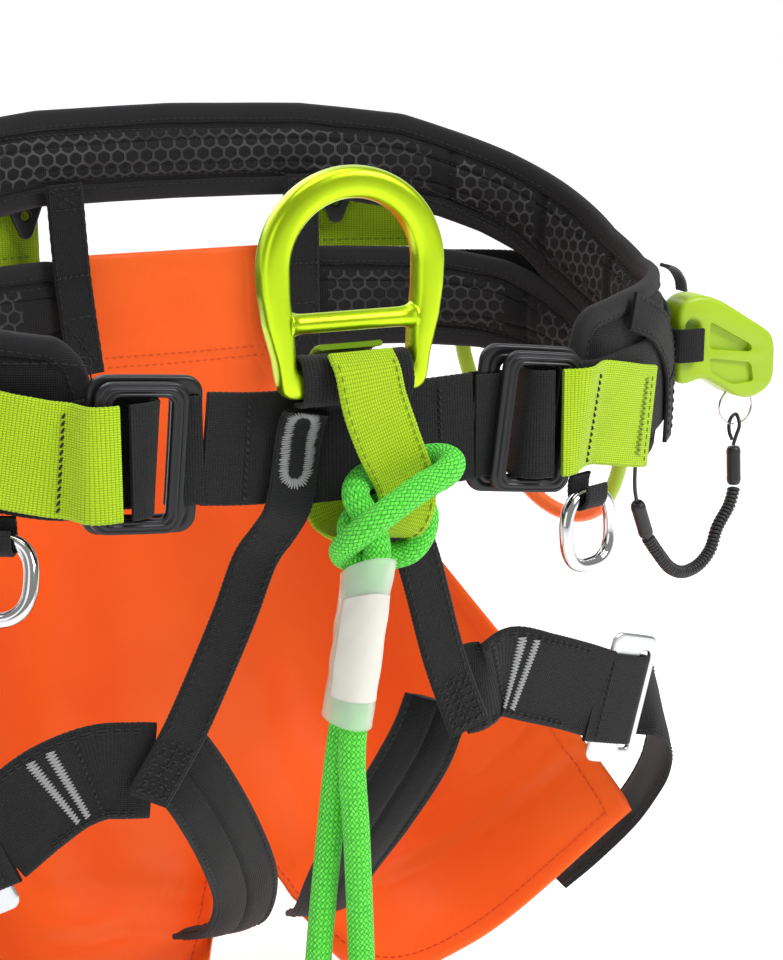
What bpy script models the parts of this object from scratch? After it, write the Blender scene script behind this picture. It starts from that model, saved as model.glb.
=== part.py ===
"""Tree climbing saddle: waist pads, front belt, attachment ring, leg loops, seat panel and sling.

Lengths are in millimetres up to the last step, where MM turns them into metres.
+X is the wearer's left, -Y the front of the wearer and +Z up. The origin is in the middle of
the waist at the height of the belt buckles. Waist places are given as an angle: 0 at the
+X hip, 90 at the back, 180 at the -X hip and -90 at the front.
"""

import math

import bmesh
import bpy
import numpy as np
from mathutils import Matrix, Vector

MM = 0.001

# Waist outline: a superellipse, the middle of the padding in plan.
WAIST_HALF_WIDTH = 190.0
WAIST_HALF_DEPTH = 112.0
WAIST_CENTRE_Y = -5.0
WAIST_POWER = 2.3

# Textiles.
PAD_THICKNESS = 11.0
WEBBING = 45.0
WEBBING_THICKNESS = 2.0
LAYER_GAP = 1.0
RISER_WIDTH = 19.5
BRIDGE_WIDTHS = (27, 27, 27, 26, 24, 23, 23, 23.5, 24, 25, 26, 26, 26, 26, 26, 26, 27)
ON_PAD = PAD_THICKNESS / 2 + LAYER_GAP + WEBBING_THICKNESS / 2
IN_PAD = -ON_PAD

# Waist pad edges as (waist angle, height); the other side mirrors about 90 degrees.
UPPER_TOP = ((90, 118.5), (70, 117), (54, 111), (35, 93), (22, 79), (5, 60), (-10, 50), (-30, 49),
             (-45, 46), (-55, 42), (-61, 33))
UPPER_BOTTOM = ((90, 74.5), (70, 74), (48, 62), (40, 54), (31, 43), (26, 32), (15, 18), (0, 4),
                (-15, -9), (-30, -18), (-61, -18))
LOWER_TOP = ((69, 46), (53, 44.5), (45, 43), (35, 38.5), (26, 30), (15, 16), (0, 2), (-15, -11),
             (-30, -20.5), (-38, -21))
LOWER_BOTTOM = ((69, -3.5), (53, -3.5), (40, -5), (26, -12), (10, -22), (-10, -31), (-38, -33))
HIP_WEBBING_HEIGHT = {
    1: lambda angle: float(np.interp(angle, (-55, -38, -14, 0, 32, 64), (0.5, 3.5, 11, 15, 21, 20))),
    -1: lambda angle: float(np.interp(angle, (-55, -38, -14, 0, 32, 64), (1.5, 9, 15, 17, 21, 20))),
}
UPPER_END = {1: -57, -1: 239}
UPPER_RISE = {1: 0.0, -1: 6.0}
LOWER_START, LOWER_END = -38, 75

# Front belt and its buckles.
BELT_Y = -120.0
BELT_THICKNESS = 3.0
BUCKLE_X = {1: 80.0, -1: -89.5}
BUCKLE_Z = {1: 2.5, -1: 4.5}
BUCKLE_LEAN = {1: 7.0, -1: 5.0}
BACK_FRAME = (46.0, 62.0, 27.0, 47.0, 4.4)
FRONT_FRAME = (37.0, 59.0, 23.0, 47.0, 4.4)
BACK_FRAME_Y = -117.6
FRONT_FRAME_Y = -124.6
FRAME_CORNER = 6.0

# Attachment ring.
RING_X = -4.5
RING_Y = -129.5
RING_BAR_Z = 29.0
RING_THICKNESS = 12.0
RING_TOP_RADIUS = 38.5
RING_TOP_CENTRE_Z = 73.0
RING_FOOT_HALF_WIDTH = 31.0
RING_ARM = 12.5
CROSSBAR_Z = 52.0
CROSSBAR_DEPTH = 8.0
RING_LOOP_WIDTH = 46.0

# Sling: an endless sewn rope, girth hitched to the bridge loop.
ROPE_DIAMETER = 11.0
SLEEVE_START = (-4.9, -146.0, -43.6)
SLEEVE_END = (-14.0, -145.5, -105.0)
SLEEVE_HALF_AXES = (8.9, 13.2)
SLEEVE_SLANT = 0.6

# Side rings.
SIDE_RING_BAR = 6.0
SIDE_RING_HALF_WIDTH = 14.0
SIDE_RING_HALF_HEIGHT = 15.5
SIDE_RING_POWER = 2.6

# Leash.
LEASH_COIL_DIAMETER = 6.4


def clear_scene():
    for obj in list(bpy.data.objects):
        bpy.data.objects.remove(obj)


def new_collection(name):
    made = bpy.data.collections.new(name)
    bpy.context.scene.collection.children.link(made)
    return made


def material(name, colour, roughness, metallic=0.0):
    made = bpy.data.materials.new(name)
    made.use_nodes = True
    shader = made.node_tree.nodes["Principled BSDF"]
    shader.inputs["Base Color"].default_value = (*colour, 1.0)
    shader.inputs["Roughness"].default_value = roughness
    shader.inputs["Metallic"].default_value = metallic
    return made


def waist(angle, offset=0.0):
    """The plan point (x, y) of the waist outline at this angle, moved outward by offset."""

    def on_outline(degrees):
        a = math.radians(degrees)
        r = (abs(math.cos(a)) ** WAIST_POWER + abs(math.sin(a)) ** WAIST_POWER) ** (-1 / WAIST_POWER)
        return Vector((
            WAIST_HALF_WIDTH * r * math.cos(a),
            WAIST_CENTRE_Y + WAIST_HALF_DEPTH * r * math.sin(a),
        ))

    tangent = (on_outline(angle + 0.5) - on_outline(angle - 0.5)).normalized()
    return on_outline(angle) + Vector((tangent.y, -tangent.x)) * offset


def on_waist(angle, height, offset=0.0):
    return Vector((*waist(angle, offset), height))


def smooth(values, count):
    """Count points evenly spaced along a smooth curve through the values, each a row of numbers."""
    rows = np.array([tuple(v) for v in values], float)
    if len(rows) == 2:
        return rows[0] + (rows[1] - rows[0]) * np.linspace(0, 1, count)[:, None]
    first, last = 2 * rows[0] - rows[1], 2 * rows[-1] - rows[-2]
    padded = np.vstack([first, rows, last])
    fine = []
    for i in range(1, len(padded) - 2):
        a, b, c, d = padded[i - 1 : i + 3]
        for t in np.linspace(0, 1, 24, endpoint=False):
            fine.append(0.5 * (
                2 * b + (c - a) * t + (2 * a - 5 * b + 4 * c - d) * t**2 + (3 * b - a - 3 * c + d) * t**3
            ))
    fine = np.array([*fine, rows[-1]])
    run = np.concatenate([[0], np.cumsum(np.linalg.norm(np.diff(fine[:, :3], axis=0), axis=1))])
    wanted = np.linspace(0, run[-1], count)
    return np.column_stack([np.interp(wanted, run, fine[:, k]) for k in range(fine.shape[1])])


def lean(side):
    """The width direction of the webbing that runs through a leaning buckle."""
    a = math.radians(BUCKLE_LEAN[side])
    return (math.sin(a), 0.0, math.cos(a))


def edge_height(profile, angle):
    """The height of a pad edge at this angle: right and left halves mirror about the back."""
    folded = angle if angle <= 90 else 180 - angle
    angles, heights = zip(*sorted(profile))
    return float(np.interp(folded, angles, heights))


def place(name, data, look, pivot=(0, 0, 0)):
    """Links a mesh built in millimetres as an object whose origin is the pivot."""
    data.transform(Matrix.Diagonal((MM, MM, MM, 1)) @ Matrix.Translation(-Vector(pivot)))
    obj = bpy.data.objects.new(name, data)
    obj.location = Vector(pivot) * MM
    obj.data.materials.append(LOOKS[look])
    PARTS.objects.link(obj)
    return obj


def solidify(obj, thickness):
    thick = obj.modifiers.new("Thickness", "SOLIDIFY")
    thick.thickness = thickness * MM
    thick.offset = 0.0
    thick.use_even_offset = True
    return obj


def sheet(name, rows, look, thickness, pivot=(0, 0, 0)):
    """An open surface through rows of points, given thickness about its middle."""
    shape = bmesh.new()
    grid = [[shape.verts.new(point) for point in row] for row in rows]
    for upper, lower in zip(grid, grid[1:]):
        for i in range(len(upper) - 1):
            shape.faces.new((upper[i], upper[i + 1], lower[i + 1], lower[i]))
    bmesh.ops.recalc_face_normals(shape, faces=shape.faces)
    data = bpy.data.meshes.new(name)
    shape.to_mesh(data)
    shape.free()
    return solidify(place(name, data, look, pivot), thickness)


def strap(name, route, across, width, look, thickness=WEBBING_THICKNESS, count=16, pivot=(0, 0, 0)):
    """Flat webbing along a route; across gives its width direction at each route point, and
    width is one number or one per route point."""
    widths = width if isinstance(width, tuple) else (width,) * len(route)
    along = smooth([(*p, *Vector(a).normalized(), w) for p, a, w in zip(route, across, widths)], count)
    rows = []
    for row in along:
        middle, side = Vector(row[:3]), Vector(row[3:6]).normalized()
        rows.append([middle - side * row[6] / 2, middle + side * row[6] / 2])
    return sheet(name, rows, look, thickness, pivot)


def waist_band(name, start, end, bottom, top, offset, thickness, look, step=4.0):
    """A band on the waist outline between two edge heights, each a function of the angle."""
    count = max(2, int(abs(end - start) / step) + 1)
    rows = []
    for angle in np.linspace(start, end, count):
        rows.append([on_waist(angle, bottom(angle), offset), on_waist(angle, top(angle), offset)])
    return sheet(name, rows, look, thickness)


def tube(name, points, diameter, look, resolution=2, cyclic=False, pivot=(0, 0, 0)):
    data = bpy.data.curves.new(name, "CURVE")
    data.dimensions = "3D"
    data.bevel_depth = diameter / 2 * MM
    data.bevel_resolution = resolution
    data.use_fill_caps = not cyclic
    spline = data.splines.new("POLY")
    spline.points.add(len(points) - 1)
    for target, point in zip(spline.points, points):
        target.co = (*((Vector(point) - Vector(pivot)) * MM), 1.0)
    spline.use_cyclic_u = cyclic
    obj = bpy.data.objects.new(name, data)
    obj.location = Vector(pivot) * MM
    data.materials.append(LOOKS[look])
    PARTS.objects.link(obj)
    return obj


def arc(x, z, radius, start, end, count):
    return [
        (x + radius * math.cos(math.radians(a)), z + radius * math.sin(math.radians(a)))
        for a in np.linspace(start, end, count)
    ]


def rounded_box(width, height, corner, steps=3):
    points = []
    for sx, sz, start in ((1, 1, 0), (-1, 1, 90), (-1, -1, 180), (1, -1, 270)):
        points += arc(sx * (width / 2 - corner), sz * (height / 2 - corner), corner, start, start + 90, steps)
    return points


def plate(name, outlines, thickness, look, frame, edge=0.0):
    """A flat plate from closed outlines (the later ones are holes), turned by frame, which also
    carries it to its place and whose origin becomes the object's origin."""
    data = bpy.data.curves.new(name, "CURVE")
    data.dimensions = "2D"
    data.fill_mode = "BOTH"
    data.extrude = (thickness / 2 - edge) * MM
    data.bevel_depth = edge * MM
    data.bevel_resolution = 1
    data.offset = -edge * MM
    for outline in outlines:
        spline = data.splines.new("POLY")
        spline.points.add(len(outline) - 1)
        for target, (x, z) in zip(spline.points, outline):
            target.co = (x * MM, z * MM, 0, 1)
        spline.use_cyclic_u = True
    obj = bpy.data.objects.new(name, data)
    turned = frame.copy()
    turned.translation = frame.translation * MM
    obj.matrix_world = turned
    data.materials.append(LOOKS[look])
    PARTS.objects.link(obj)
    return obj


def upright(origin, turn=0.0, lean=0.0, roll=0.0):
    """Stands a plate up facing the front, then turns it about Z, leans it back and rolls it."""
    return (
        Matrix.Translation(origin)
        @ Matrix.Rotation(math.radians(turn), 4, "Z")
        @ Matrix.Rotation(math.radians(lean), 4, "X")
        @ Matrix.Rotation(math.radians(roll), 4, "Y")
        @ Matrix.Rotation(math.radians(90), 4, "X")
    )


def mirrored(side, values):
    """The points for one side: side is 1 at +X and -1 at -X."""
    return [(side * x, y, z) for x, y, z in values]


def side_name(side):
    return "left" if side > 0 else "right"


def side_angle(side, angle):
    return angle if side > 0 else 180 - angle


def build_waist_pads():
    waist_band(
        "upper_waist_pad", UPPER_END[1], UPPER_END[-1],
        lambda a: edge_height(UPPER_BOTTOM, a),
        lambda a: edge_height(UPPER_TOP, a) + float(np.interp(a, (195, 225), (UPPER_RISE[1], UPPER_RISE[-1]))),
        0.0, PAD_THICKNESS, "pad",
    )
    for side in (1, -1):
        waist_band(
            f"lower_hip_pad_{side_name(side)}",
            side_angle(side, LOWER_START), side_angle(side, LOWER_END),
            lambda a: edge_height(LOWER_BOTTOM, a), lambda a: edge_height(LOWER_TOP, a),
            0.0, PAD_THICKNESS, "pad",
        )


def build_back_straps():
    """Upright straps on the inner face that join the upper pad to the ends of the lower pads."""
    for side, x in ((1, 63.0), (-1, -51.0)):
        y = waist(90 - x / 2.4, IN_PAD).y
        drift = 5.0 if side < 0 else 0.0
        strap(
            f"back_strap_{side_name(side)}", [(x - drift, y, 84), (x - drift / 2, y, 40), (x + drift / 2, y, -8)],
            [(1, 0, 0)] * 3, 18.0, "webbing", count=6,
        )


def build_hip_webbing():
    """The adjustable belt: along the outside of the pads, then up through both buckle frames."""
    for side in (1, -1):
        route = [
            on_waist(angle, HIP_WEBBING_HEIGHT[side](angle), ON_PAD)
            for angle in (64, 48, 32, 16, 0, -14, -27, -38, -47, -55)
        ]
        route = [(point.x * side, point.y, point.z) for point in route]
        buckle = BUCKLE_X[side]
        route += [
            (buckle + side * dx, y, BUCKLE_Z[side])
            for dx, y in ((12, -113.0), (4, -113.0), (-2.5, -113.4), (-5.8, -116.3), (-6.4, -121), (-5.4, -126),
                          (-1, -129.4), (5, -130.5))
        ]
        across = [(0, 0, 1)] * 9 + [lean(side)] * 9
        strap(f"hip_webbing_{side_name(side)}", route, across, WEBBING, "webbing", count=52)


TAB_ACROSS = {1: (*((0.2, 0, 1),) * 3, (0.16, 0, 1), (0.12, 0, 1), (0.06, 0, 1), (0, 0, 1), (0, 0, 1)),
              -1: (*((0.05, 0, 1),) * 4, *((0, 0, 1),) * 4)}


def build_belt_tabs():
    """The bright webbing tails that leave the front frames and lie back over the hip webbing."""
    tails = {1: ((32, -117.5, -0.5), (40, -113.5, -2), (54, -107.5, -5.5), (64, -102, -8), (71, -97.5, -9.5)),
             -1: ((26, -120, 0.5), (34, -116, 1.5), (44, -111.5, 3.5), (54, -106.5, 5.5), (62, -102, 7.5))}
    for side, tail in tails.items():
        start = ((9, -130.4, 0), (15, -130.6, 0), (21, -128, 0))
        route = [(BUCKLE_X[side] + side * dx, y, BUCKLE_Z[side] + z) for dx, y, z in (*start, *tail)]
        strap(
            f"belt_tab_{side_name(side)}", route, TAB_ACROSS[side], WEBBING, "lime_webbing",
            thickness=2.6, count=22,
        )


def build_buckles():
    """Two stacked frames a side: the belt is sewn to the back one, the front one tilts to release."""
    for side in (1, -1):
        for part, size, y, inward in (
            ("back_frame", BACK_FRAME, BACK_FRAME_Y, 3.0),
            ("front_frame", FRONT_FRAME, FRONT_FRAME_Y, 0.0),
        ):
            width, height, open_width, open_height, thick = size
            hinge = width / 2 - 3.5 if part == "front_frame" else 0.0
            outlines = [
                [(x - side * hinge, z) for x, z in rounded_box(width, height, FRAME_CORNER)],
                [(x - side * hinge, z) for x, z in rounded_box(open_width, open_height, 2.5, 3)],
            ]
            shift, roll = side * (hinge - inward), math.radians(BUCKLE_LEAN[side])
            origin = (BUCKLE_X[side] + shift * math.cos(roll), y, BUCKLE_Z[side] - shift * math.sin(roll))
            plate(
                f"belt_buckle_{part}_{side_name(side)}", outlines, thick, "black_metal",
                upright(origin, roll=BUCKLE_LEAN[side]), edge=1.2,
            )


def build_front_belt():
    """Two layers of webbing between the buckles, and at each end a fold round its frame's inner bar."""
    bar = {side: BUCKLE_X[side] - side * (3.0 + BACK_FRAME[0] / 2) for side in (1, -1)}
    route = (
        (bar[-1] + 1.2, BELT_Y, BUCKLE_Z[-1]), (-44, BELT_Y, 2.7), (-22, BELT_Y, 2.0), (20, BELT_Y, 1.5),
        (bar[1] - 1.2, BELT_Y, BUCKLE_Z[1]),
    )
    across = (lean(-1), (0.03, 0, 1), (0, 0, 1), (0.03, 0, 1), lean(1))
    strap("front_belt", route, across, WEBBING, "webbing", BELT_THICKNESS, count=12)
    fold = ((-0.4, -121.2), (5, -121.15), (10.5, -120.9), (12.3, -117.6), (10.5, -114.1), (5, -113.9), (-0.4, -114.2))
    for side in (1, -1):
        route = [(bar[side] + side * dx, y, BUCKLE_Z[side]) for dx, y in fold]
        strap(
            f"belt_fold_{side_name(side)}", route, [lean(side)] * len(route), 43.0, "webbing",
            thickness=1.3, count=16,
        )


def ring_outline():
    """The ring's outer edge: a round top, straight arms that draw in to the feet, a flat base."""
    foot = RING_FOOT_HALF_WIDTH
    base = RING_BAR_Z - 6.0
    top = arc(0, RING_TOP_CENTRE_Z, RING_TOP_RADIUS, 0, 180, 17)
    left_foot = arc(-foot + 6, base + 6, 6.0, 180, 270, 4)
    right_foot = arc(foot - 6, base + 6, 6.0, 270, 360, 4)
    return [*top, (-RING_TOP_RADIUS + 2, 52), *left_foot, *right_foot, (RING_TOP_RADIUS - 2, 52)]


def build_attachment_ring():
    """A forged ring with a crossbar, on a lower bar that turns in its webbing loop."""
    inner_radius = RING_TOP_RADIUS - RING_ARM
    crossbar_top = CROSSBAR_Z + CROSSBAR_DEPTH / 2
    upper_hole = [
        *arc(0, RING_TOP_CENTRE_Z, inner_radius, 0, 180, 13),
        *arc(-inner_radius + 3.5, crossbar_top + 3, 3.0, 180, 270, 4),
        *arc(inner_radius - 3.5, crossbar_top + 3, 3.0, 270, 360, 4),
    ]
    slot_top = CROSSBAR_Z - CROSSBAR_DEPTH / 2
    slot_base = RING_BAR_Z + 4.5
    slot_half = inner_radius - 1.5
    lower_hole = [
        *arc(slot_half - 3, slot_top - 3, 3.0, 0, 90, 4), *arc(-slot_half + 3, slot_top - 3, 3.0, 90, 180, 4),
        *arc(-slot_half + 3, slot_base + 2, 2.0, 180, 270, 3), *arc(slot_half - 3, slot_base + 2, 2.0, 270, 360, 3),
    ]
    outlines = [[(x, z - RING_BAR_Z) for x, z in line] for line in (ring_outline(), upper_hole, lower_hole)]
    plate(
        "attachment_ring", outlines, RING_THICKNESS, "lime_metal",
        upright((RING_X, RING_Y, RING_BAR_Z)), edge=3.0,
    )


def build_ring_loop():
    """The webbing loop that wraps the ring's lower bar and is sewn to both faces of the belt."""
    y, z = RING_Y, RING_BAR_Z
    profile = [
        (-123.2, -21), (-123.2, 12), (-124.2, 17.6), (-127.5, 20), (-132.5, 20.7), (y - 7.3, z - 5.2),
        (y - 8.4, z + 1), (y - 4.6, z + 8.8),
        (y + 2.5, z + 9.4), (y + 8.4, z + 6), (-118.0, z + 2), (-116.2, 26), (-116.2, 18), (-116.4, -21),
    ]
    route = [(RING_X, *point) for point in profile]
    strap("ring_loop", route, [(1, 0, 0)] * len(route), RING_LOOP_WIDTH, "webbing", count=44)


def build_bridge_loop():
    """The bright loop over the ring bar, down the front of the belt and back up behind it."""
    route = [
        (-4, -137, 40.6), (-4, -144.5, 34.5), (-2, -146.5, 22), (4, -146, 6), (11, -145, -10), (13, -143, -22),
        (9.5, -138.5, -31.5), (5, -129.5, -36), (2, -119, -37), (-1, -110.4, -33), (-3.5, -107.8, -25),
        (-5, -107.8, -10), (-5, -109, 8), (-4, -110.6, 22), (-4, -114.6, 34.2), (-4, -120.5, 39.6), (-4, -128, 41.9),
    ]
    across = [
        (1, 0, 0.03), (1, 0, 0.05), (1, 0, 0.1), (1, -0.1, 0.18), (1, -0.2, 0.2), (1, -0.22, 0.15),
        (1, -0.18, 0.05), (1, -0.1, 0), (1, 0, 0), (1, 0, 0.05), (1, 0, 0), (1, 0, 0), (1, 0, 0), (1, 0, 0),
        (1, 0, 0), (1, 0, 0), (1, 0, 0),
    ]
    strap("bridge_loop", route, across, BRIDGE_WIDTHS, "lime_webbing", thickness=2.2, count=52)


# The sling's route: its two ends meet inside the sleeve. Both standing strands pass behind the
# bridge loop and return as one bight across its front.
SLING_ROUTE = [
    (-8.2, -140.2, -66), (-10.6, -140.2, -90), (-15.2, -140, -120), (-20, -139.8, -160), (-25.5, -140.2, -215),
    (-27, -140.5, -265), (-24, -141, -300), (-16, -142, -314), (-9, -143.5, -302), (-8, -145.5, -265),
    (-9.5, -148.5, -212), (-12.5, -151.2, -155), (-14.6, -151.6, -118), (-11.4, -151.8, -88), (-7.6, -151.8, -60),
    (-4.8, -151.6, -43), (-3.4, -151.2, -34), (-5, -148.8, -24.5), (-8.4, -142.6, -15.5), (-4.4, -137, -10.5),
    (4, -135.8, -7.6), (14, -136.2, -5.4), (23, -138.8, -3.6), (28.2, -144.2, -2.6), (28.6, -150.8, -3.4),
    (23.6, -155.4, -6), (14, -156.6, -9.6), (4, -157.8, -14.4), (-5, -157.4, -20), (-11.4, -153.2, -26.5),
    (-13.6, -146, -32.5), (-12.4, -138, -38), (-7, -131.2, -42.8), (1, -128.8, -44.8), (11, -129.6, -45),
    (19.5, -131.4, -43), (25, -131.8, -36.6), (26.4, -131.4, -28.6), (22.5, -131.2, -23.2), (13.5, -131.2, -22.6),
    (4, -131.4, -24), (-6.5, -134.2, -27.5), (-8.6, -139.8, -35.4), (-6.4, -141, -43.4), (-6.9, -140.6, -55),
]


def build_sling():
    points = smooth(SLING_ROUTE, 110)
    tube("sling_rope", [tuple(p) for p in points], ROPE_DIAMETER, "rope")


def build_sleeve():
    """The clear tube over the sling's stitching, oval round both strands."""
    start, end = Vector(SLEEVE_START), Vector(SLEEVE_END)
    axis = (end - start).normalized()
    wide = Vector((1, 0, 0)) - axis * axis.x
    wide.normalize()
    deep = axis.cross(wide)
    half_width, half_depth = SLEEVE_HALF_AXES
    rows = []
    for t in np.linspace(0, 1, 5):
        middle = start.lerp(end, t)
        ring = []
        for a in np.linspace(0, 360, 21):
            c, s = math.cos(math.radians(a)), math.sin(math.radians(a))
            slant = axis * (SLEEVE_SLANT * (1 - t) * half_depth * s * (1 if deep.y > 0 else -1))
            ring.append(middle + wide * half_width * c + deep * half_depth * s + slant)
        rows.append(ring)
    made = sheet("sling_sleeve", rows, "clear", 1.2)
    weld = made.modifiers.new("Join", "WELD")
    weld.merge_threshold = 0.0001
    made.modifiers.move(1, 0)


def build_side_rings():
    """Oval steel rings, each through a webbing loop below the hip webbing, resting swung outward."""
    for side, angle, top, swing in ((1, -57, -34.0, 4.0), (-1, -47.5, -27.5, 26.0)):
        at = side_angle(side, angle)
        point = waist(at, ON_PAD + 4.0)
        out = (waist(at, 10) - waist(at, 0)).normalized()
        out, along = Vector((out.x, out.y, 0)), Vector((-out.y, out.x, 0))
        centre = Vector((point.x, point.y, top))
        down = Vector((0, 0, -1)) * math.cos(math.radians(swing)) + out * math.sin(math.radians(swing))
        points = []
        for a in np.linspace(0, 360, 24, endpoint=False):
            c, s = math.cos(math.radians(a)), math.sin(math.radians(a))
            squarer = (abs(c) ** SIDE_RING_POWER + abs(s) ** SIDE_RING_POWER) ** (-1 / SIDE_RING_POWER)
            points.append(
                centre + along * SIDE_RING_HALF_WIDTH * c * squarer
                + down * SIDE_RING_HALF_HEIGHT * (1 - s * squarer)
            )
        tube(
            f"side_ring_{side_name(side)}", points, SIDE_RING_BAR, "chrome", cyclic=True, pivot=centre,
        )
        profile = ((-4.2, 8), (-5.2, 4), (-4.8, -2), (-2.4, -5.4), (1.8, -5.4), (4.9, -2.4), (5.4, 2), (5.2, 5))
        loop = [centre + out * depth + Vector((0, 0, height)) for depth, height in profile]
        strap(
            f"side_ring_loop_{side_name(side)}", loop, [along] * len(loop), 13.0, "webbing",
            thickness=1.6, count=14,
        )


# Riser routes. The -X one ends in a bar-tacked patch over the front belt.
RISERS = {
    -1: ((-22.8, -128.5, 17.2), (-23.6, -126.3, 14), (-25.3, -125.5, 6), (-28.3, -125.4, -13.8),
         (-31, -125.2, -23.5), (-34.5, -119.6, -33), (-40, -113.4, -45), (-48, -110.5, -68), (-60, -106.5, -98),
         (-70, -104, -120), (-84, -101, -145)),
    1: ((22, -113.4, -28), (34, -110, -56), (47, -107, -100), (61, -104, -136)),
}
RISER_ACROSS = {
    -1: (*((1, 0, -0.1),) * 4, (1, 0, -0.2), *((1, 0, -0.35),) * 6),
    1: ((1, 0, 0.35),) * 4,
}


def build_risers():
    """The straps that hang each leg loop from the belt."""
    for side, route in RISERS.items():
        strap(
            f"leg_riser_{side_name(side)}", route, RISER_ACROSS[side], RISER_WIDTH, "webbing", count=30,
        )


# Leg strap routes and width directions, from each riser to its buckle.
LEG_STRAPS = {
    -1: ((-80, -97.5, -134), (-90, -96, -133), (-102, -93, -133), (-116, -87.5, -139), (-128, -81.5, -149),
         (-142.4, -76.2, -161.6)),
    1: ((62, -97, -121), (72, -97, -120), (84, -94, -117), (103, -91, -124), (122, -87, -132),
        (136.8, -84.4, -138.8)),
}
LEG_STRAP_ACROSS = {
    -1: ((-0.12, 0, 1), (-0.25, 0.05, 1), (-0.42, 0.1, 1), (-0.45, 0.1, 1), (-0.43, 0.15, 1), (-0.4, 0.3, 1)),
    1: ((0.32, 0, 1),) * 6,
}
LEG_STRAP_WIDTH = 42.0
LEG_BUCKLES = {1: ((152.5, -77, -146), 14, 17), -1: ((-152, -63, -170), -42, -28)}
STRAP_TURN = ((-16.5, -3.4), (-12, -3.6), (3, -3.9), (8, -3.6), (10.6, -1.6), (10.6, 1.6), (8, 3.4), (2, 3.6))


def build_leg_straps():
    for side, route in LEG_STRAPS.items():
        strap(
            f"leg_strap_{side_name(side)}", route, LEG_STRAP_ACROSS[side], LEG_STRAP_WIDTH, "webbing",
            thickness=2.6, count=18,
        )


def build_strap_turns():
    """The webbing wrapped over each leg buckle's outer bar, which tilts with the buckle."""
    for side, (centre, turn, roll) in LEG_BUCKLES.items():
        frame = upright(centre, turn=turn, roll=roll)
        route = [frame @ Vector((side * x, 0, -y)) for x, y in STRAP_TURN]
        up = frame.to_3x3() @ Vector((0, 1, 0))
        strap(
            f"leg_strap_turn_{side_name(side)}", route, [up] * len(route), LEG_STRAP_WIDTH, "webbing",
            thickness=1.8, count=22, pivot=centre,
        )


def build_leg_buckles():
    """A flat frame at the end of each leg strap, tilting about its front edge."""
    for side, (centre, turn, roll) in LEG_BUCKLES.items():
        outlines = [
            [(x + side * 1, z) for x, z in rounded_box(30, 62, 5)],
            [(x + side * 9.3, z) for x, z in rounded_box(6, 47, 2, 3)],
        ]
        plate(
            f"leg_buckle_{side_name(side)}", outlines, 3.0, "brushed_metal",
            upright(centre, turn=turn, roll=roll), edge=0.8,
        )


# Outer leg pad routes and width directions, from behind each buckle round and under the thigh.
OUTER_PADS = {
    1: ((156, -67.7, -147.3), (163, -66.2, -149), (171, -64, -151.5), (181, -59.6, -156.5), (191, -51.5, -169),
        (197, -43, -187), (196, -37, -206), (186, -32, -226), (168, -28, -244), (148, -26, -258)),
    -1: ((-150, -52.4, -173.6), (-158.6, -45.8, -176.2), (-172, -42, -183), (-183, -38, -194), (-189, -34, -208),
         (-188, -31, -222), (-180, -29, -236), (-166, -27, -249), (-148, -26, -259)),
}
OUTER_PAD_ACROSS = {
    1: ((0.29, 0.07, 0.95), (0.29, 0.08, 0.95), (0.3, 0.25, 0.9), (0.32, 0.6, 0.7), (0.3, 0.85, 0.4),
        (0.26, 0.95, 0.1), *((0.25, 1, -0.1),) * 4),
    -1: ((-0.35, 0.3, 0.88), (-0.33, 0.45, 0.8), (-0.32, 0.7, 0.6), (-0.3, 0.85, 0.35), (-0.26, 0.95, 0.1),
         *((-0.25, 1, -0.1),) * 4),
}


def build_outer_leg_pads():
    """The padded band from each leg buckle round the outside of the thigh and under it."""
    for side in (1, -1):
        strap(
            f"outer_leg_pad_{side_name(side)}", OUTER_PADS[side], OUTER_PAD_ACROSS[side], 38.0, "pad",
            thickness=4.0, count=26,
        )


def build_inner_pads():
    """The padded straps from the riser junctions, down the inner thighs and back under them."""
    routes = {
        1: ((52, -91.6, -127), (43.5, -87, -152), (32, -72, -185), (24, -52, -217), (24, -28, -247), (30, -2, -262)),
        -1: ((-72, -94.5, -127), (-56, -87, -152), (-38, -71, -186), (-24, -50, -220), (-22, -28, -248),
             (-30, -2, -262)),
    }
    for side, route in routes.items():
        across = [
            (-0.45 * side, 0, 0.9), (-0.5 * side, 0, 0.85), (-0.75 * side, 0, 0.65), (-0.95 * side, 0, 0.3),
            (-1 * side, 0, 0.05), (-1 * side, 0, 0),
        ]
        strap(
            f"inner_thigh_pad_{side_name(side)}", route, across, 32.0, "pad", thickness=6.0, count=18,
        )


# Seat panel rows from the top to the front edge: half width, then (y, z) across from the middle.
SEAT_COLUMNS = (0.0, 0.22, 0.55, 1.0)
SEAT_ROWS = (
    (50, (113.5, 47), (113.5, 47), (113.5, 47), (113.5, 47)),
    (50, (113.5, 16), (113.5, 16), (113.5, 16), (113.5, 16)),
    (54, (113.5, -8), (113.5, -8), (113.5, -8), (112, -8)),
    (80, (116, -45), (116, -45), (114, -46), (103, -42)),
    (112, (121, -95), (120, -96), (116, -100), (76, -92)),
    (140, (116, -145), (114, -148), (106, -160), (40, -138)),
    (160, (94, -192), (90, -198), (78, -220), (8, -172)),
    (173, (68, -216), (58, -236), (44, -258), (-18, -198)),
    (180, (48, -226), (20, -268), (2, -276), (-36, -214)),
    (180, (34, -228), (-22, -286), (-34, -280), (-46, -220)),
)


def build_seat():
    """One fabric panel: narrow at the top between the back straps, two lobes under the thighs."""
    rows = []
    for half_width, *levels in SEAT_ROWS:
        half = [(half_width * x, *level) for x, level in zip(SEAT_COLUMNS, levels)]
        across = [(-x, y, z) for x, y, z in reversed(half[1:])] + half
        rows.append([tuple(p) for p in smooth(across, 19)])
    down = np.array(rows)
    columns = [smooth(down[:, i], 18) for i in range(down.shape[1])]
    rows = [[tuple(column[k]) for column in columns] for k in range(18)]
    sheet("seat_panel", rows, "orange_fabric", 2.0)


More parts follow.
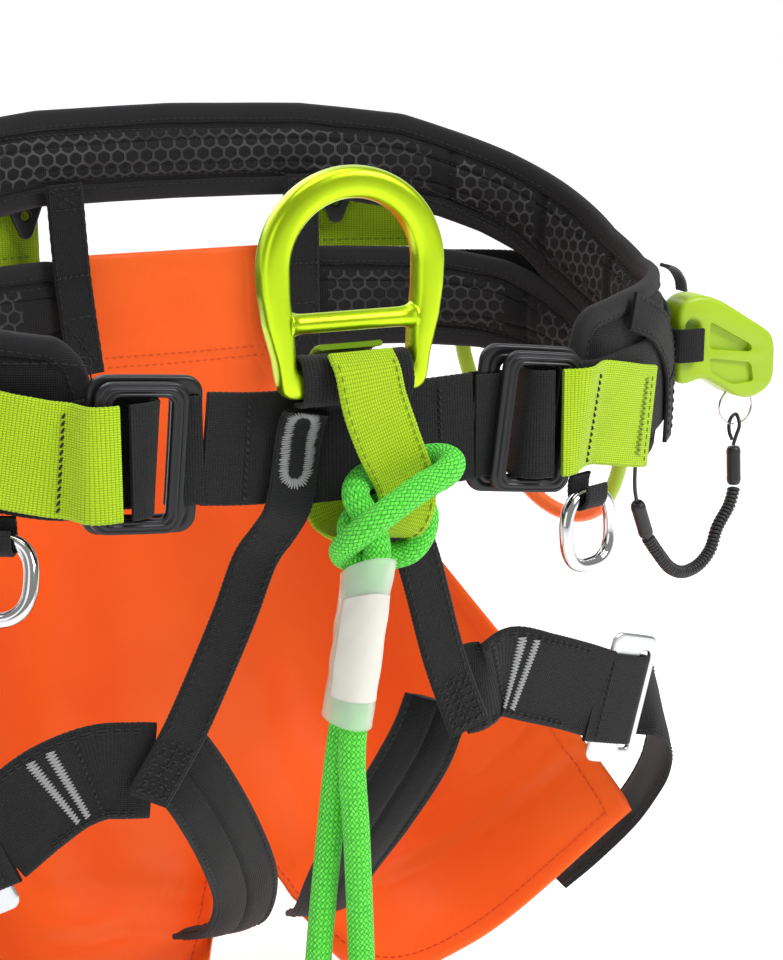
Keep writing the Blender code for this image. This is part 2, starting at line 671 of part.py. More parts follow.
def build_gear_clips():
    """Tabs with a hole, hung below the upper pad on its outer face."""
    outline = [*arc(0, -41, 4, 215, 325, 5), *arc(16, -2, 4, -30, 90, 4), *arc(-16, -2, 4, 90, 210, 4)]
    hole = arc(0, -34, 2.4, 0, 330, 12)
    for side, angle in ((1, 64), (-1, 69)):
        at = side_angle(side, angle)
        point = waist(at, ON_PAD + 1.5)
        outward = (waist(at, 10) - waist(at, 0)).normalized()
        turn = math.degrees(math.atan2(outward.x, -outward.y))
        plate(
            f"gear_clip_{side_name(side)}", [outline, hole], 3.0, "matte_plastic",
            upright((point.x, point.y, 102), turn=turn), edge=0.6,
        )


# Places of the strap that comes forward over each hip pad and down over the hip webbing:
# waist angle, height, extra offset, and how far its width leans from along the waist.
HIP_STRAP = ((-46, 40, -0.2, 0.75), (-40, 32, 2.8, 0.6), (-35, 22, 2.6, 0.4), (-31.5, 10, 2.6, 0.2),
             (-30, -6, 2.6, 0.0), (-30, -26, 2.2, 0.0))


def build_hip_straps():
    for side in (1, -1):
        route, across = [], []
        for angle, height, offset, lift in HIP_STRAP:
            angle = side_angle(side, angle)
            tangent = (waist(angle + 0.5) - waist(angle - 0.5)).normalized() * side
            route.append(on_waist(angle, height + (UPPER_RISE[side] if height > 25 else 0), ON_PAD + offset))
            across.append((tangent.x, tangent.y, lift))
        strap(f"hip_strap_{side_name(side)}", route, across, 17.0, "webbing", thickness=1.8, count=22)


def build_rear_panels():
    for side in (1, -1):
        waist_band(
            f"rear_panel_{side_name(side)}", side_angle(side, 52), side_angle(side, 71.5),
            lambda a: 43.5, lambda a: 80.0, ON_PAD + 7.5, 2.4, "lime_webbing", step=3.0,
        )


def build_gear_loops():
    """Stiff sleeved loops hanging behind each hip."""
    for side in (1, -1):
        route = []
        for angle, height, offset in (
            (44, -4, ON_PAD + 5.8), (43, -18, ON_PAD + 6), (40, -46, ON_PAD + 9), (35, -74, ON_PAD + 13),
            (30, -90, ON_PAD + 15), (24, -96, ON_PAD + 16), (18, -90, ON_PAD + 15), (13, -74, ON_PAD + 13),
            (8, -46, ON_PAD + 9), (5, -18, ON_PAD + 6), (4, -4, ON_PAD + 5.8),
        ):
            route.append(on_waist(angle, height, offset))
        tube(
            f"gear_loop_{side_name(side)}", [tuple(p) for p in smooth(mirrored(side, route), 30)], 8.0,
            "lime_plastic",
        )


HOOK_Y = -38.0
SPLIT_RING_RADIUS = 9.2
SPLIT_RING_WIRE = 1.4
SPLIT_RING_TOP = (236.0, HOOK_Y, -13.0)


def as_mesh(curve):
    """Turns a curve object into a welded mesh object of the same name, place and material."""
    graph = bpy.context.evaluated_depsgraph_get()
    data = bpy.data.meshes.new_from_object(curve.evaluated_get(graph))
    shape = bmesh.new()
    shape.from_mesh(data)
    bmesh.ops.remove_doubles(shape, verts=shape.verts, dist=0.000001)
    bmesh.ops.recalc_face_normals(shape, faces=shape.faces)
    shape.to_mesh(data)
    shape.free()
    name, matrix = curve.name, curve.matrix_world.copy()
    bpy.data.objects.remove(curve)
    obj = bpy.data.objects.new(name, data)
    obj.matrix_world = matrix
    PARTS.objects.link(obj)
    return obj


def build_tool_hook():
    """A moulded hook on the +X hip, its tip pierced by the curved channel that the split ring runs in."""
    outline = [
        (197, -5), (197, 27), (200, 32), (206, 34.5), (213, 34), (222, 30.5), (247, 15.5), (250.5, 12), (252, 6),
        (252, -9), (248, -14), (240, -17.5), (231, -16), (224, -11.5), (212, -5), (203, -7.5), (199, -7),
    ]
    aperture = [(201, 6), (201, 20), (203, 23.5), (208, 21.5), (209, 14), (207.5, 7), (204, 4)]
    plate(
        "tool_hook", [outline, aperture], 17.0, "lime_plastic", upright((0, HOOK_Y, 0)), edge=2.4,
    )
    bpy.context.view_layer.update()
    hook = as_mesh(bpy.data.objects["tool_hook"])
    x, y, z = SPLIT_RING_TOP
    bpy.ops.mesh.primitive_torus_add(
        major_radius=SPLIT_RING_RADIUS * MM, minor_radius=2.3 * MM, major_segments=36, minor_segments=10,
        location=(x * MM, y * MM, (z - SPLIT_RING_RADIUS) * MM), rotation=(math.pi / 2, 0, 0),
    )
    cutter = bpy.context.object
    cutter.name = "split_ring_channel"
    for home in list(cutter.users_collection):
        home.objects.unlink(cutter)
    CUTTERS.objects.link(cutter)
    cutter.hide_render = True
    cutter.display_type = "WIRE"
    cut = hook.modifiers.new("Channel", "BOOLEAN")
    cut.object = cutter
    cut.operation = "DIFFERENCE"


def build_hook_straps():
    """The webbing that holds the hook to the hip and the small keeper above it."""
    strap(
        "hook_strap",
        [(193.6, HOOK_Y - 7.4, 12), (195.6, HOOK_Y - 11.4, 12), (202, HOOK_Y - 12.6, 12), (208, HOOK_Y - 12.6, 12)],
        [(0.06, 0, 1)] * 4, 16.0, "webbing", thickness=1.6, count=8,
    )
    strap(
        "hook_keeper",
        [(203, HOOK_Y, 36.2), (202, HOOK_Y, 41), (199, HOOK_Y, 45.5), (196, HOOK_Y, 47.5), (193.2, HOOK_Y, 48.5)],
        [(0, 1, 0)] * 5, 9.0, "grey_webbing", thickness=1.6, count=10,
    )


LEASH_ROUTE = (
    (232.3, -45.1, -61.6), (228, -48, -69), (219, -52, -78), (213, -56, -87), (204, -60, -92.5), (193, -64, -93.5),
    (183, -68, -89), (174, -72, -80), (166, -75, -70.5),
)


def build_leash():
    """Split ring, ferrules and a coiled retractable cord down to the hip webbing."""
    x, y, z = SPLIT_RING_TOP
    ring = []
    for a in np.linspace(0, 360, 28, endpoint=False):
        c, s = math.cos(math.radians(a)), math.sin(math.radians(a))
        ring.append((x + SPLIT_RING_RADIUS * s, y, z - SPLIT_RING_RADIUS * (1 - c)))
    tube("split_ring", ring, SPLIT_RING_WIRE, "chrome", resolution=1, cyclic=True, pivot=SPLIT_RING_TOP)
    tube("leash_coil", [tuple(p) for p in smooth(LEASH_ROUTE, 22)], LEASH_COIL_DIAMETER, "rubber")
    tube("leash_upper_ferrule", [(232.4, -43, -41), (232.5, -44.6, -59.6)], 7.0, "rubber")
    tube("leash_lower_ferrule", [(165.3, -75.3, -69.6), (157.5, -78.5, -52)], 7.0, "rubber")
    upper = [
        (232.6, -42.5, -40.6), (234, -42.6, -36), (236, -42.0, -31), (236.4, -38.6, -26.6), (236.2, -34.9, -28.5),
        (235.4, -34.1, -32), (234.8, -35.6, -36), (234.6, -38.4, -38.9),
    ]
    tube("leash_upper_loop", [tuple(p) for p in smooth(upper, 14)], 1.8, "rubber", resolution=1)
    lower = [(157.3, -78.6, -51.6), (155.5, -79.5, -44), (154.5, -81, -34), (154.5, -82, -24)]
    tube("leash_lower_loop", [tuple(p) for p in smooth(lower, 8)], 1.8, "rubber", resolution=1)


def round_shading():
    for obj in PARTS.objects:
        if obj.type == "MESH":
            obj.data.shade_smooth()
            obj.data.set_sharp_from_angle(angle=math.radians(35))


clear_scene()
PARTS = new_collection("tree_climbing_saddle")
CUTTERS = new_collection("cutters")
LOOKS = {
    "pad": material("black_padding", (0.02, 0.02, 0.022), 0.85),
    "webbing": material("black_webbing", (0.03, 0.03, 0.033), 0.7),
    "grey_webbing": material("grey_webbing", (0.18, 0.19, 0.2), 0.7),
    "lime_webbing": material("lime_webbing", (0.52, 0.8, 0.02), 0.65),
    "lime_metal": material("lime_anodised_aluminium", (0.5, 0.78, 0.02), 0.3, 0.7),
    "lime_plastic": material("lime_plastic", (0.5, 0.75, 0.01), 0.4),
    "black_metal": material("black_anodised_aluminium", (0.02, 0.02, 0.022), 0.35, 0.6),
    "brushed_metal": material("brushed_aluminium", (0.7, 0.71, 0.72), 0.35, 1.0),
    "chrome": material("chrome_steel", (0.8, 0.8, 0.8), 0.08, 1.0),
    "rope": material("green_rope", (0.04, 0.75, 0.12), 0.7),
    "clear": material("clear_sleeve", (0.8, 0.9, 0.8), 0.25),
    "rubber": material("black_rubber", (0.02, 0.02, 0.02), 0.5),
    "matte_plastic": material("black_plastic", (0.02, 0.02, 0.02), 0.5),
    "orange_fabric": material("orange_fabric", (0.9, 0.16, 0.03), 0.55),
}

build_waist_pads()
build_back_straps()
build_hip_webbing()
build_belt_tabs()
build_hip_straps()
build_buckles()
build_front_belt()
build_attachment_ring()
build_ring_loop()
build_bridge_loop()
build_sling()
build_sleeve()
build_side_rings()
build_risers()
build_leg_straps()
build_strap_turns()
build_leg_buckles()
build_outer_leg_pads()
build_inner_pads()
build_seat()
build_gear_clips()
build_rear_panels()
build_gear_loops()
build_tool_hook()
build_hook_straps()
build_leash()
round_shading()
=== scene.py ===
"""The look of a tree climbing saddle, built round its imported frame: padding, webbing, stitching,
forged ring, buckles, seat cloth, rope sling and leash. Lengths are in millimetres until MM."""

import math

import bmesh
import bpy
import numpy as np
from mathutils import Matrix, Vector


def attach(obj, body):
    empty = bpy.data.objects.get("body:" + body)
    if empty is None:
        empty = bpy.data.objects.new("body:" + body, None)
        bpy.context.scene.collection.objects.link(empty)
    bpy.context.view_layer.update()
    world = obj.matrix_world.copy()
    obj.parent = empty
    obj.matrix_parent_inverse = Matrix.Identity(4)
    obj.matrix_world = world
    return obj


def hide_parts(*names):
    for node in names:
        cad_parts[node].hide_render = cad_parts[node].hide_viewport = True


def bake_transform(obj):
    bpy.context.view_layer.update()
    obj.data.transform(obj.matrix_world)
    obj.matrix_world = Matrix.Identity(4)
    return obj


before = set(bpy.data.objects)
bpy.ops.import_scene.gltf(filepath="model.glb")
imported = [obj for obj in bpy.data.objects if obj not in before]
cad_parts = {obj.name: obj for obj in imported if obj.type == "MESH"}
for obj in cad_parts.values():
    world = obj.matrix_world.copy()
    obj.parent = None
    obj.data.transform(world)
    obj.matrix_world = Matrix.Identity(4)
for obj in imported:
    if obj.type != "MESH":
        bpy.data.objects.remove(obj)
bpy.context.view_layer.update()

MM = 0.001
ROOT = "harness"

WAIST_HALF_WIDTH, WAIST_HALF_DEPTH, WAIST_CENTRE_Y, WAIST_POWER = 190.0, 112.0, -5.0, 2.3
ON_PAD, IN_PAD = 7.5, -7.5
WEBBING = 45.0
RING_WIRE, SPLIT_RADIUS, SPLIT_TOP = 0.42, 9.2, (236, -13)
UPPER_TOP = ((90, 118.5), (70, 117), (54, 111), (35, 93), (22, 79), (5, 60), (-10, 50), (-30, 49),
             (-45, 46), (-55, 42), (-61, 33))
UPPER_BOTTOM = ((90, 74.5), (70, 74), (48, 62), (40, 54), (31, 43), (26, 32), (15, 18), (0, 4),
                (-15, -9), (-30, -18), (-61, -18))
LOWER_TOP = ((69, 46), (53, 44.5), (45, 43), (35, 38.5), (26, 30), (15, 16), (0, 2), (-15, -11),
             (-30, -20.5), (-38, -21))
LOWER_BOTTOM = ((69, -3.5), (53, -3.5), (40, -5), (26, -12), (10, -22), (-10, -31), (-38, -33))
UPPER_END = {1: -57, -1: 239}
UPPER_RISE = {1: 0.0, -1: 6.0}
BUCKLE_X = {1: 80.0, -1: -89.5}
BUCKLE_Z = {1: 2.5, -1: 4.5}
BUCKLE_LEAN = {1: 7.0, -1: 5.0}
BELT_Y = -120.0
RING_X, RING_Y, RING_BAR_Z = -4.5, -129.5, 29.0
HOOK_Y = -38.0


# ---------------------------------------------------------------- numbers

def unit(v):
    """Each row of v at length 1."""
    v = np.asarray(v, float)
    return v / np.maximum(np.linalg.norm(v, axis=-1, keepdims=True), 1e-12)


def waist(angle, offset=0.0):
    """The plan point (x, y) of the waist outline at this angle, moved outward by offset."""

    def on_outline(degrees):
        a = math.radians(degrees)
        r = (abs(math.cos(a)) ** WAIST_POWER + abs(math.sin(a)) ** WAIST_POWER) ** (-1 / WAIST_POWER)
        return np.array([WAIST_HALF_WIDTH * r * math.cos(a),
                         WAIST_CENTRE_Y + WAIST_HALF_DEPTH * r * math.sin(a)])

    tangent = unit(on_outline(angle + 0.5) - on_outline(angle - 0.5))
    return on_outline(angle) + np.array([tangent[1], -tangent[0]]) * offset


def on_waist(angle, height, offset=0.0):
    """The point at this height above the waist outline."""
    return np.array([*waist(angle, offset), height])


def outward(angle):
    """The level direction away from the waist at this angle."""
    return np.array([*unit(waist(angle, 10) - waist(angle, 0)), 0.0])


def smooth(values, count, closed=False):
    """Count rows evenly spaced along a smooth curve through the values."""
    rows = np.array([tuple(v) for v in values], float)
    if closed:
        padded = np.vstack([rows[-1], rows, rows[0], rows[1]])
    else:
        padded = np.vstack([2 * rows[0] - rows[1], rows, 2 * rows[-1] - rows[-2]])
    fine = []
    for i in range(1, len(padded) - 2):
        a, b, c, d = padded[i - 1: i + 3]
        t = np.linspace(0, 1, 24, endpoint=False)[:, None]
        fine.append(0.5 * (2 * b + (c - a) * t + (2 * a - 5 * b + 4 * c - d) * t**2
                           + (3 * b - a - 3 * c + d) * t**3))
    fine = np.vstack([*fine, rows[:1] if closed else rows[-1:]])
    run = arc_length(fine[:, :3])
    wanted = np.linspace(0, run[-1], count + 1)[:-1] if closed else np.linspace(0, run[-1], count)
    return np.column_stack([np.interp(wanted, run, fine[:, k]) for k in range(fine.shape[1])])


def arc_length(points):
    """The distance along the points, starting at 0."""
    return np.concatenate([[0], np.cumsum(np.linalg.norm(np.diff(points, axis=0), axis=1))])


def edge_height(profile, angle):
    """The height of a pad edge given as (angle, height) pairs for one side."""
    folded = angle if angle <= 90 else 180 - angle
    angles, heights = zip(*sorted(profile))
    return float(np.interp(folded, angles, heights))


def lean(side):
    """The width direction of the webbing in a leaning buckle."""
    a = math.radians(BUCKLE_LEAN[side])
    return (math.sin(a), 0.0, math.cos(a))


def side_name(side):
    return "left" if side > 0 else "right"


def named(stem, sides=(1, -1)):
    """Each side (the wearer's left is 1) with the name of its piece."""
    return [(side, f"{stem}_{side_name(side)}") for side in sides]


def direction(azimuth, elevation):
    """The direction from the saddle to a viewer there; azimuth 0 is its front."""
    a, e = math.radians(azimuth), math.radians(elevation)
    return np.array([math.sin(a) * math.cos(e), -math.cos(a) * math.cos(e), math.sin(e)])


def full_turn(count):
    """This many angles, evenly spaced round a turn."""
    return np.linspace(0, 2 * math.pi, count, endpoint=False)


def side_angle(side, angle):
    """An angle of the wearer's left, carried over to the given side."""
    return angle if side > 0 else 180 - angle


# ---------------------------------------------------------------- materials

BRAID_AROUND = 9 * 2.0 / 11.0
BRAID_ALONG = 1.25


class Graph:
    """One material's nodes, wired with short calls. A number set on a socket stays a number."""

    def __init__(self, name, colour, rough, metal=0.0, **sockets):
        self.mat = bpy.data.materials.new(name)
        self.mat.use_nodes = True
        self.tree = self.mat.node_tree
        self.shader = self.tree.nodes["Principled BSDF"]
        self.feed(self.shader, "Base Color", (*colour, 1.0))
        self.feed(self.shader, "Roughness", rough)
        self.feed(self.shader, "Metallic", metal)
        for key, value in sockets.items():
            self.feed(self.shader, key.replace("_", " "), value)

    def feed(self, node, key, value):
        socket = node.inputs[key]
        if isinstance(value, bpy.types.NodeSocket):
            self.tree.links.new(value, socket)
        else:
            socket.default_value = value

    def node(self, kind, out=0, inputs=(), **settings):
        made = self.tree.nodes.new(kind)
        for key, value in settings.items():
            setattr(made, key, value)
        for key, value in dict(inputs).items():
            self.feed(made, key, value)
        return made.outputs[out]

    def calc(self, operation, *values):
        return self.node("ShaderNodeMath", inputs=dict(enumerate(values)), operation=operation)

    def uv(self):
        made = self.tree.nodes.new("ShaderNodeSeparateXYZ")
        self.feed(made, 0, self.node("ShaderNodeUVMap", uv_map="cloth"))
        return made.outputs[0], made.outputs[1]

    def ridge(self, coordinate, pitch, phase=0.0):
        """1 in the middle of each cell of this pitch, 0 between cells."""
        turned = self.calc("MULTIPLY_ADD", coordinate, math.pi / pitch, phase)
        return self.calc("ABSOLUTE", self.calc("SINE", turned))

    def noise(self, scale, detail=2.0, rough=0.5):
        made = self.tree.nodes.new("ShaderNodeTexCoord")
        return self.node("ShaderNodeTexNoise", inputs={
            "Vector": made.outputs["Object"], "Scale": scale, "Detail": detail, "Roughness": rough})

    def ramp(self, value, low, high, out_low=0.0, out_high=1.0):
        return self.node("ShaderNodeMapRange", inputs=dict(enumerate((value, low, high, out_low, out_high))))

    def mix(self, factor, a, b):
        made = self.tree.nodes.new("ShaderNodeMix")
        made.data_type = "RGBA"
        self.feed(made, 0, factor)
        for index, value in ((6, a), (7, b)):
            self.feed(made, index, value if isinstance(value, bpy.types.NodeSocket) else (*value, 1.0))
        return made.outputs[2]

    def colour(self, value):
        self.feed(self.shader, "Base Color", value)

    def rough(self, value):
        self.feed(self.shader, "Roughness", value)

    def bump(self, height, distance_mm, strength=1.0):
        self.feed(self.shader, "Normal", self.node("ShaderNodeBump", inputs={
            "Height": height, "Distance": distance_mm * MM, "Strength": strength}))


def scaled(colour, k):
    return tuple(min(1.0, c * k) for c in colour)


def woven(name, colour, gap_shade, pitch_u, pitch_v, rough=0.72, sheen=0.08, depth=0.28, wear=0.12):
    """Flat webbing: a grid of small pillows, u along the webbing and v across it, with painted shade in the
    gaps between them.
    """
    g = Graph(name, colour, rough, Sheen_Weight=sheen, Sheen_Roughness=0.4, Specular_IOR_Level=0.22)
    u, v = g.uv()
    speck = g.noise(900, 2)
    along = g.ridge(u, pitch_u)
    across = g.ridge(v, pitch_v)
    twist = g.ridge(g.calc("ADD", u, g.calc("MULTIPLY", v, 0.55)), pitch_u * 0.5)
    pillow = g.calc("MULTIPLY", g.calc("POWER", along, 0.55), g.calc("POWER", across, 0.7))
    pillow = g.calc("MULTIPLY", pillow, g.ramp(twist, 0, 1, 0.82, 1.0))
    height = g.calc("ADD", pillow, g.calc("MULTIPLY", speck, 0.25))
    broad = g.noise(38, 3)
    tone = g.mix(g.ramp(broad, 0.3, 0.7), scaled(colour, 1 - wear), scaled(colour, 1 + wear))
    # painted shade: the gaps between the pillows take the darker gap colour
    g.colour(g.mix(g.ramp(pillow, 0.05, 0.62), gap_shade, tone))
    g.rough(g.ramp(speck, 0.3, 0.7, rough - 0.07, min(1.0, rough + 0.1)))
    g.bump(height, depth)
    return g.mat


def twill(name, colour, line, pitch, rough=0.8):
    """Binding tape: fine diagonal ribs, with painted shade in the grooves between them."""
    g = Graph(name, colour, rough, Sheen_Weight=0.1, Sheen_Roughness=0.4, Specular_IOR_Level=0.2)
    u, v = g.uv()
    rib = g.ridge(g.calc("ADD", u, v), pitch)
    fine = g.noise(800, 2)
    # painted shade: the grooves between the ribs take the darker line colour
    g.colour(g.mix(g.ramp(rib, 0.1, 0.7), line, colour))
    g.bump(g.calc("ADD", rib, g.calc("MULTIPLY", fine, 0.3)), 0.25)
    return g.mat


def pad_cloth(name):
    """Close knitted cover of the padding, darker where the knit is low: painted shade, partly random tone."""
    g = Graph(name, (0.01, 0.01, 0.011), 0.88, Sheen_Weight=0.12, Sheen_Roughness=0.5,
              Specular_IOR_Level=0.18)
    u, v = g.uv()
    knit = g.calc("MULTIPLY", g.ridge(u, 0.9), g.ridge(v, 0.9))
    broad = g.noise(30, 3)
    raised = g.ramp(g.calc("MULTIPLY", knit, broad), 0.1, 0.45)
    # painted shade, partly random tone: the low places of the knit take the darker colour
    g.colour(g.mix(raised, (0.004, 0.004, 0.0045), (0.015, 0.015, 0.016)))
    g.bump(g.calc("ADD", knit, g.calc("MULTIPLY", broad, 3.0)), 0.22)
    return g.mat


def honeycomb(name, cell=7.2, row=5.6):
    """Spacer mesh: pale net threads round dark, slightly rounded cells."""
    g = Graph(name, (0.02, 0.02, 0.022), 0.8, Sheen_Weight=0.1, Sheen_Roughness=0.4, Specular_IOR_Level=0.2)
    u, v = g.uv()
    width, height = cell, cell * math.sqrt(3)
    v = g.calc("MULTIPLY", v, height / (2 * row))

    def wrapped(shift):
        for along, size in ((u, width), (v, height)):
            cell_at = g.calc("FLOORED_MODULO", g.calc("ADD", along, shift * size / 2), size)
            yield g.calc("ABSOLUTE", g.calc("SUBTRACT", cell_at, size / 2))

    def to_edge(x, y):
        slant = g.calc("ADD", g.calc("MULTIPLY", x, 0.5), g.calc("MULTIPLY", y, math.sqrt(3) / 2))
        hexagon = g.calc("MAXIMUM", x, slant)
        reach = g.calc("SQRT", g.calc("ADD", g.calc("MULTIPLY", x, x), g.calc("MULTIPLY", y, y)))
        return g.calc("ADD", g.calc("MULTIPLY", hexagon, 0.62), g.calc("MULTIPLY", reach, 0.36))

    edge = g.calc("MINIMUM", to_edge(*wrapped(0)), to_edge(*wrapped(1)))
    net = g.ramp(edge, cell * 0.375, cell * 0.445)
    dots = g.calc("MULTIPLY", g.ridge(u, 1.1), g.ridge(v, 1.1))
    patch = g.noise(24, 3)
    pale = g.mix(g.ramp(patch, 0.35, 0.7), (0.026, 0.026, 0.028), (0.078, 0.078, 0.081))
    ground = g.mix(g.ramp(dots, 0.3, 0.8), (0.006, 0.006, 0.007), (0.019, 0.019, 0.02))
    g.colour(g.mix(net, ground, pale))
    g.bump(g.calc("ADD", g.calc("MULTIPLY", net, 1.5), g.calc("MULTIPLY", dots, 0.3)), 0.4)
    return g.mat


def coated(name, colour, shade):
    """Seat cloth: coated, nearly smooth, with a faint ripstop grain."""
    g = Graph(name, colour, 0.5, Sheen_Weight=0.08, Specular_IOR_Level=0.25)
    u, v = g.uv()
    grain = g.calc("MULTIPLY", g.ridge(u, 0.7), g.ridge(v, 0.7))
    broad = g.noise(9, 3, 0.55)
    crease = g.noise(38, 4, 0.6)
    g.colour(g.mix(g.ramp(broad, 0.32, 0.72), shade, colour))
    g.rough(g.ramp(crease, 0.3, 0.7, 0.44, 0.58))
    g.bump(g.calc("ADD", g.calc("MULTIPLY", grain, 0.10), g.calc("MULTIPLY", crease, 0.8)), 0.6, 0.7)
    return g.mat


def braid(name, colour, light, groove_shade):
    """Two families of strands, each over the other by turns; u along the rope and v around it. Painted
    highlight on one family and on fine specks, painted shade in the low places.
    """
    g = Graph(name, colour, 0.62, Sheen_Weight=0.12, Sheen_Roughness=0.4, Specular_IOR_Level=0.25)
    u, v = g.uv()
    one = g.calc("SINE", g.calc("MULTIPLY_ADD", u, BRAID_ALONG, g.calc("MULTIPLY", v, BRAID_AROUND)))
    two = g.calc("SINE", g.calc("MULTIPLY_ADD", u, BRAID_ALONG, g.calc("MULTIPLY", v, -BRAID_AROUND)))
    over = g.calc("GREATER_THAN", g.calc("MULTIPLY", one, two), 0.0)
    first = g.calc("POWER", g.calc("ABSOLUTE", two), 0.5)
    second = g.calc("POWER", g.calc("ABSOLUTE", one), 0.5)
    height = g.calc("ADD", g.calc("MULTIPLY", over, first),
                    g.calc("MULTIPLY", g.calc("SUBTRACT", 1.0, over), second))
    yarn = g.ridge(g.calc("ADD", u, g.calc("MULTIPLY", v, 0.8)), 0.5)
    fuzz = g.noise(700, 2)
    # painted highlight: one strand family and fine random specks take the light colour
    tone = g.mix(over, colour, light)
    tone = g.mix(g.ramp(fuzz, 0.35, 0.7), tone, light)
    # painted shade: the low places between the strands take the darkest colour
    g.colour(g.mix(g.ramp(height, 0.3, 0.85), groove_shade, tone))
    g.bump(g.calc("ADD", height, g.calc("MULTIPLY", yarn, 0.25)), 0.45)
    return g.mat


def metal(name, colour, rough, grain=0.06, metallic=1.0, **sockets):
    """Metal with faint broad changes of tone and gloss."""
    g = Graph(name, colour, rough, metallic, **sockets)
    fine = g.noise(260, 5, 0.6)
    broad = g.noise(22, 2)
    g.rough(g.ramp(broad, 0.3, 0.7, rough * 0.85, rough * 1.2))
    g.colour(g.mix(g.ramp(broad, 0.3, 0.7), scaled(colour, 0.93), scaled(colour, 1.05)))
    if grain:
        g.bump(fine, grain, 0.5)
    return g.mat


def moulded(name, colour, rough, grain=0.05, **sockets):
    """Moulded plastic or rubber with a fine grain."""
    g = Graph(name, colour, rough, **sockets)
    fine = g.noise(420, 4, 0.6)
    broad = g.noise(14, 2)
    g.colour(g.mix(g.ramp(broad, 0.35, 0.65), scaled(colour, 0.92), scaled(colour, 1.04)))
    g.rough(g.ramp(fine, 0.3, 0.7, rough * 0.9, rough * 1.15))
    g.bump(fine, grain, 0.6)
    return g.mat


def thread(name, colour):
    """Two-ply sewing thread, with painted shade in the grooves between its plies and a painted highlight on
    their crests.
    """
    g = Graph(name, colour, 0.6, Sheen_Weight=0.1, Specular_IOR_Level=0.25)
    u, v = g.uv()
    twist = g.ridge(g.calc("ADD", u, v), 0.35)
    # painted shade and highlight: ply grooves darker, ply crests lighter
    g.colour(g.mix(twist, scaled(colour, 0.55), scaled(colour, 1.1)))
    g.bump(twist, 0.08)
    return g.mat


LOOKS = {
    # The second colour of each woven look is painted shade for the gaps in its weave.
    "webbing": woven("black_webbing", (0.0155, 0.0155, 0.0165), (0.003, 0.003, 0.0035), 1.15, 0.95),
    "webbing_fine": woven("black_webbing_fine", (0.017, 0.017, 0.018), (0.003, 0.003, 0.0035), 0.9, 1.6, 0.8),
    "lime_webbing": woven("lime_webbing", (0.47, 0.69, 0.012), (0.19, 0.34, 0.004), 1.45, 0.95, 0.7, 0.12,
                          0.36, 0.06),
    "grey_webbing": woven("grey_webbing", (0.12, 0.12, 0.13), (0.03, 0.03, 0.035), 1.0, 0.9),
    "pad_cloth": pad_cloth("pad_cloth"),
    "pad_mesh": honeycomb("pad_mesh"),
    # The binding's second colour is painted shade for the grooves between its ribs.
    "binding": twill("binding_tape", (0.022, 0.022, 0.024), (0.004, 0.004, 0.0045), 0.95),
    "seat_cloth": coated("seat_cloth", (1.0, 0.140, 0.012), (0.90, 0.098, 0.004)),
    # The braid's second colour is a painted highlight and its third painted shade for the grooves.
    "braid": braid("green_braid", (0.06, 0.62, 0.030), (0.16, 0.92, 0.085), (0.004, 0.14, 0.006)),
    "lime_metal": metal("lime_anodised", (0.52, 0.74, 0.012), 0.30, 0.03, 0.9, Coat_Weight=0.1,
                        Coat_Roughness=0.25),
    "black_metal": metal("black_anodised", (0.016, 0.016, 0.018), 0.36, 0.03, 0.5, Coat_Weight=0.12),
    "bright_metal": metal("bright_aluminium", (0.62, 0.63, 0.64), 0.3, 0.05),
    "chrome": metal("chrome_steel", (0.66, 0.66, 0.67), 0.08, 0.0),
    "lime_plastic": moulded("lime_plastic", (0.33, 0.50, 0.005), 0.38, 0.06, Coat_Weight=0.05),
    "orange_plastic": moulded("orange_plastic", (0.95, 0.16, 0.02), 0.36),
    "black_plastic": moulded("black_plastic", (0.011, 0.011, 0.012), 0.42, 0.08),
    "rubber": moulded("black_rubber", (0.010, 0.010, 0.011), 0.42, 0.03),
    "label": moulded("label_film", (0.68, 0.665, 0.59), 0.5, 0.02),
    "black_thread": thread("black_thread", (0.014, 0.014, 0.015)),
    "grey_thread": thread("grey_thread", (0.40, 0.40, 0.41)),
    "lime_thread": thread("lime_thread", (0.22, 0.36, 0.01)),
    "orange_thread": thread("orange_thread", (0.86, 0.11, 0.012)),
}


def clear_film():
    g = Graph("clear_sleeve", (0.88, 0.95, 0.86), 0.3, Transmission_Weight=0.55, IOR=1.2, Coat_Weight=0.25)
    g.feed(g.shader, "Alpha", 0.6)
    ripple = g.noise(60, 3)
    g.bump(ripple, 0.5, 0.5)
    return g.mat


LOOKS["clear"] = clear_film()


# ---------------------------------------------------------------- meshes

def make(name, verts, faces, uvs, looks, face_looks=None, body=ROOT, stands_for=(), crease=0):
    """One visible piece. verts in millimetres, uvs one row per face corner."""
    data = bpy.data.meshes.new(name)
    data.from_pydata((np.asarray(verts) * MM).tolist(), [], [list(map(int, f)) for f in faces])
    layer = data.uv_layers.new(name="cloth")
    layer.data.foreach_set("uv", np.asarray(uvs, np.float32).ravel())
    for look in looks:
        data.materials.append(LOOKS[look])
    if face_looks is not None:
        data.polygons.foreach_set("material_index", np.asarray(face_looks, np.int32))
    data.shade_smooth()
    if crease:
        data.set_sharp_from_angle(angle=math.radians(crease))
    obj = bpy.data.objects.new(name, data)
    bpy.context.scene.collection.objects.link(obj)
    if isinstance(body, tuple):
        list(body)
        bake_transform(obj)
    else:
        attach(obj, body)
    if stands_for:
        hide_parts(*([stands_for] if isinstance(stands_for, str) else stands_for))
    return obj


